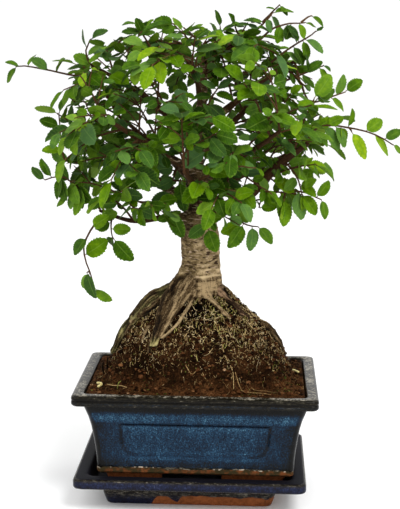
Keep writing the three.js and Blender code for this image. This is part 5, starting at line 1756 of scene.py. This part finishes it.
def sprays_in_solids(used, crown):
    """Long twigs and sprays, with the side twigs and leaves that their solids have."""
    stems = {f"twig_{name}": long_twig(*twig) for name, twig in LONG_TWIGS.items()}
    for index in range(CROWN["sprays"]):
        stems[f"spray_{index + 1:02d}"] = ruled_spray(index, CROWN["sprays"], used)
    sprays = {}
    for name, stem in stems.items():
        tree = points_of(name)
        found = [twig for twig in stem["twigs"]
                 if nearest(tree, twig["line"][-1]) < SAME_PLACE["twig"]]
        sprays[name] = [stem] + found
        for twig in sprays[name]:
            twig["leaves"], twig["added"] = [], []
            solid_leaves(tree, twig, crown)
    return sprays


def add_outline_twigs(sprays, crown):
    """More leaves on the long twigs, and the twigs and sprigs that fill the outline."""
    for name, leaves in MORE_LEAVES.items():
        twig = sprays[f"twig_{name}"][0]
        more = long_twig(LONG_TWIGS[name][0], leaves)
        twig["leaves"] += [leaf_place(site, 0) for site in more["sites"]]
    for name, (points, leaves) in MORE_TWIGS.items():
        sprays[f"more_{name}"] = [added_twig(points, leaves, crown)]
    stem_points = np.concatenate([resample(twig["line"], 16) for twigs in sprays.values()
                                  for twig in twigs] + [resample(line, 40)[6:]
                                                        for line in BRANCH_LINES])
    for name, (points, leaves) in SPRIGS.items():
        gap = np.linalg.norm(stem_points - np.array(points[0], float), axis=1)
        start = tuple(stem_points[gap.argmin()])
        sprays[f"more_{name}"] = [added_twig([start] + points, leaves, crown)]


def fill_sprays(sprays, crown, rng):
    """Small leaves along the ruled sprays, where there is room."""
    for name, twigs in sprays.items():
        if name.startswith("spray"):
            apart = APART["top" if twigs[0]["line"][-1][2] > TOP_OF_CROWN else "low"]
            extra_leaves(twigs[0], LEAF_SHARES["stem"], crown, rng, apart)
            for twig in twigs[1:]:
                extra_leaves(twig, LEAF_SHARES["side"], crown, rng, apart)


def add_layers(sprays, used, crown, rng):
    """Sprays of small leaves inside the crown, those with more than two leaves."""
    for layer, (count, near, span) in enumerate(LAYERS):
        seed = SEEDS["layers"] + SEEDS["next_layer"] * layer
        for index in range(count):
            stem = ruled_spray(index, count, used, seed, LAYER_LOWEST, near, span)
            for twig in [stem] + stem["twigs"]:
                twig["leaves"], twig["added"] = [], []
                for site in twig["sites"]:
                    leaf = leaf_place(site, rng.uniform(-30, 30), outward=1.0, loose=2.0)
                    leaf = shorter(leaf, rng.uniform(*SMALL_LENGTHS["layer"]))
                    if crown.is_free(leaf, APART["layer"]):
                        twig["added"].append(leaf)
                        crown.keep(leaf)
                extra_leaves(twig, LEAF_SHARES["layer"], crown, rng, APART["layer_more"])
            kept = [twig for twig in [stem] + stem["twigs"] if twig["added"]]
            if sum(len(twig["added"]) for twig in kept) > 2:
                sprays[f"more_{layer}_{index}"] = ([stem] if stem not in kept else []) + kept


def plan_crown():
    """Sprays by name, each a list of twigs with their leaves."""
    used = [np.array(points[0], float) for points, _ in LONG_TWIGS.values()]
    crown = Crown()
    sprays = sprays_in_solids(used, crown)
    add_outline_twigs(sprays, crown)
    rng = np.random.default_rng(SEED)
    fill_sprays(sprays, crown, rng)
    add_layers(sprays, used, crown, rng)
    return sprays


def region_of(twigs):
    x, y, z = np.mean([leaf[0] for twig in twigs for leaf in twig["leaves"] + twig["added"]],
                      axis=0)
    hand = "left" if x < CROWN["centre"][0] else "right"
    if z > REGION_TOP:
        return f"top_{hand}"
    return f"{'low' if z < REGION_LOW else 'mid'}_{'front' if y < 0 else 'back'}_{hand}"


def leaf_tint_and_light(leaf, first, rng):
    """How pale a leaf is: painted shade makes it darker in the crown's heart and middle, painted
    sunlight paler low on its right.
    """
    x, _, z = leaf[0]
    reach = np.linalg.norm((leaf[0] - CROWN["centre"]) / CROWN["half"])
    young = first and rng.random() < YOUNG_SHARE
    tint = rng.uniform(0.65, 0.9) if young else rng.beta(1.8, 2.6) * 0.92
    # Painted shade: darker in the crown's heart and in its middle
    tint *= 0.5 + 0.5 * smoothstep(0.5, 0.95, reach)
    tint *= 1 - 0.3 * hump(x, 0, 40) * hump(z, 288, 34)
    # Painted sunlight, paler low on the crown's right
    sunny = smoothstep(15, 70, x) * smoothstep(360, 275, z)
    return tint + 0.45 * sunny * max(0, 0.78 - tint)


def crown_pieces():
    sprays = plan_crown()
    regions = {}
    for name, twigs in sprays.items():
        regions.setdefault(region_of(twigs), []).append(name)
    rng = np.random.default_rng(SEEDS["tints"])
    for number, (region, names) in enumerate(sorted(regions.items())):
        shape = Shape("along", "side", "tint", "bloom")
        twig_lines = {"stem": [], "side": []}
        leaves = {"leaves": [], "added": []}
        for name in names:
            for k, twig in enumerate(sprays[name]):
                kind = "side" if k else "stem"
                line = resample(twig["line"], TWIG_FORMS[kind][0])
                line = line + wobble(line, 7, 300) * np.linspace(0, 0.7, len(line))[:, None]
                twig_lines[kind].append(line)
                for group, kept in leaves.items():
                    kept += [(*leaf, leaf_tint_and_light(leaf, n == 0, rng))
                             for n, leaf in enumerate(twig[group])]
        add_leaves(shape, leaves["leaves"], FULL_LEAF, SEEDS["leaves"] + number)
        add_leaves(shape, leaves["added"], SLIM_LEAF, SEEDS["small_leaves"] + number)
        for kind, lines in twig_lines.items():
            if lines:
                count, start, end, sides = TWIG_FORMS[kind]
                radii = np.linspace(start, end, count)[None] * np.ones((len(lines), 1))
                tints = rng.uniform(0.1, 0.5, len(lines))
                strands(shape, np.array(lines), radii, sides, 2, tint=tints)
        piece = shape.make(f"sprays_{region}", [LEAF_TOP, LEAF_UNDER, TWIG_BARK], 50)
        show(piece, "leaf", *[name for name in names if not name.startswith("more")])


# Stage

FLOOR_REACH = 60
WORLD_STRENGTH = 1.06
# Lamps: place and target in metres, size and power
LAMPS = {"key": ((0.7, -1.1, 1.5), (0, 0, 0.25), 0.8, 22),
         "fill": ((-1.1, -0.8, 0.9), (0, 0, 0.2), 1.0, 5)}


def area_light(name, place, target, size, power):
    data = bpy.data.lights.new(name, "AREA")
    data.shape = "DISK"
    data.size = size
    data.energy = power
    lamp = in_scene(name, data)
    way = Vector(target) - Vector(place)
    turn = way.to_track_quat("-Z", "Y").to_matrix().to_4x4()
    lamp.matrix_world = Matrix.Translation(place) @ turn


def set_stage():
    floor_mesh = bpy.data.meshes.new("floor")
    corners = [(-1, -1), (1, -1), (1, 1), (-1, 1)]
    floor_mesh.from_pydata([(x * FLOOR_REACH, y * FLOOR_REACH, 0) for x, y in corners], [],
                           [(0, 1, 2, 3)])
    floor_mesh.materials.append(FLOOR_WHITE)
    floor = in_scene("floor", floor_mesh)
    world = bpy.data.worlds.new("studio")
    bpy.context.scene.world = world
    world.use_nodes = True
    background = world.node_tree.nodes["Background"]
    background.inputs["Color"].default_value = (1, 1, 1, 1)
    background.inputs["Strength"].default_value = WORLD_STRENGTH
    bpy.context.scene.view_settings.view_transform = "Standard"
    for name, lamp in LAMPS.items():
        area_light(name, *lamp)


def set_camera():
    cos_p, sin_p = math.cos(CAMERA_PITCH), math.sin(CAMERA_PITCH)
    cos_y, sin_y = math.cos(CAMERA_YAW), math.sin(CAMERA_YAW)
    forward = np.array([sin_y * cos_p, cos_y * cos_p, -sin_p])
    right = np.array([cos_y, -sin_y, 0.0])
    up = np.cross(right, forward)
    cos_r, sin_r = math.cos(CAMERA_ROLL), math.sin(CAMERA_ROLL)
    right, up = cos_r * right + sin_r * up, cos_r * up - sin_r * right
    data = bpy.data.cameras.new("photo_camera")
    data.sensor_width = SENSOR
    data.lens = CAMERA_FOCAL_PIXELS * SENSOR / IMAGE_HEIGHT
    data.clip_start, data.clip_end = 0.05, 200
    camera = in_scene("photo_camera", data)
    matrix = np.eye(4)
    matrix[:3, 0], matrix[:3, 1], matrix[:3, 2] = right, up, -forward
    matrix[:3, 3] = np.array(CAMERA_PLACE) * MM
    camera.matrix_world = Matrix(matrix.tolist())
    bpy.context.scene.camera = camera


# The whole

def dress_tree():
    show(pot_piece(), "pot_glaze", "pot")
    show(saucer_piece(), "saucer_glaze", "saucer")
    show(soil_piece(), "soil_crumb", "soil")
    for made in (crumbs_piece(), fibres_piece(), moss_piece()):
        show(made, "soil_crumb")
    show(trunk_piece(), "bark", "tree_wood")
    show(branches_piece(), "bark")
    crown_pieces()
    for name in ("drain_net_left", "drain_net_right"):
        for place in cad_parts[name].material_slots:
            place.material = NET_PLASTIC
    set_stage()
    set_camera()


dress_tree()
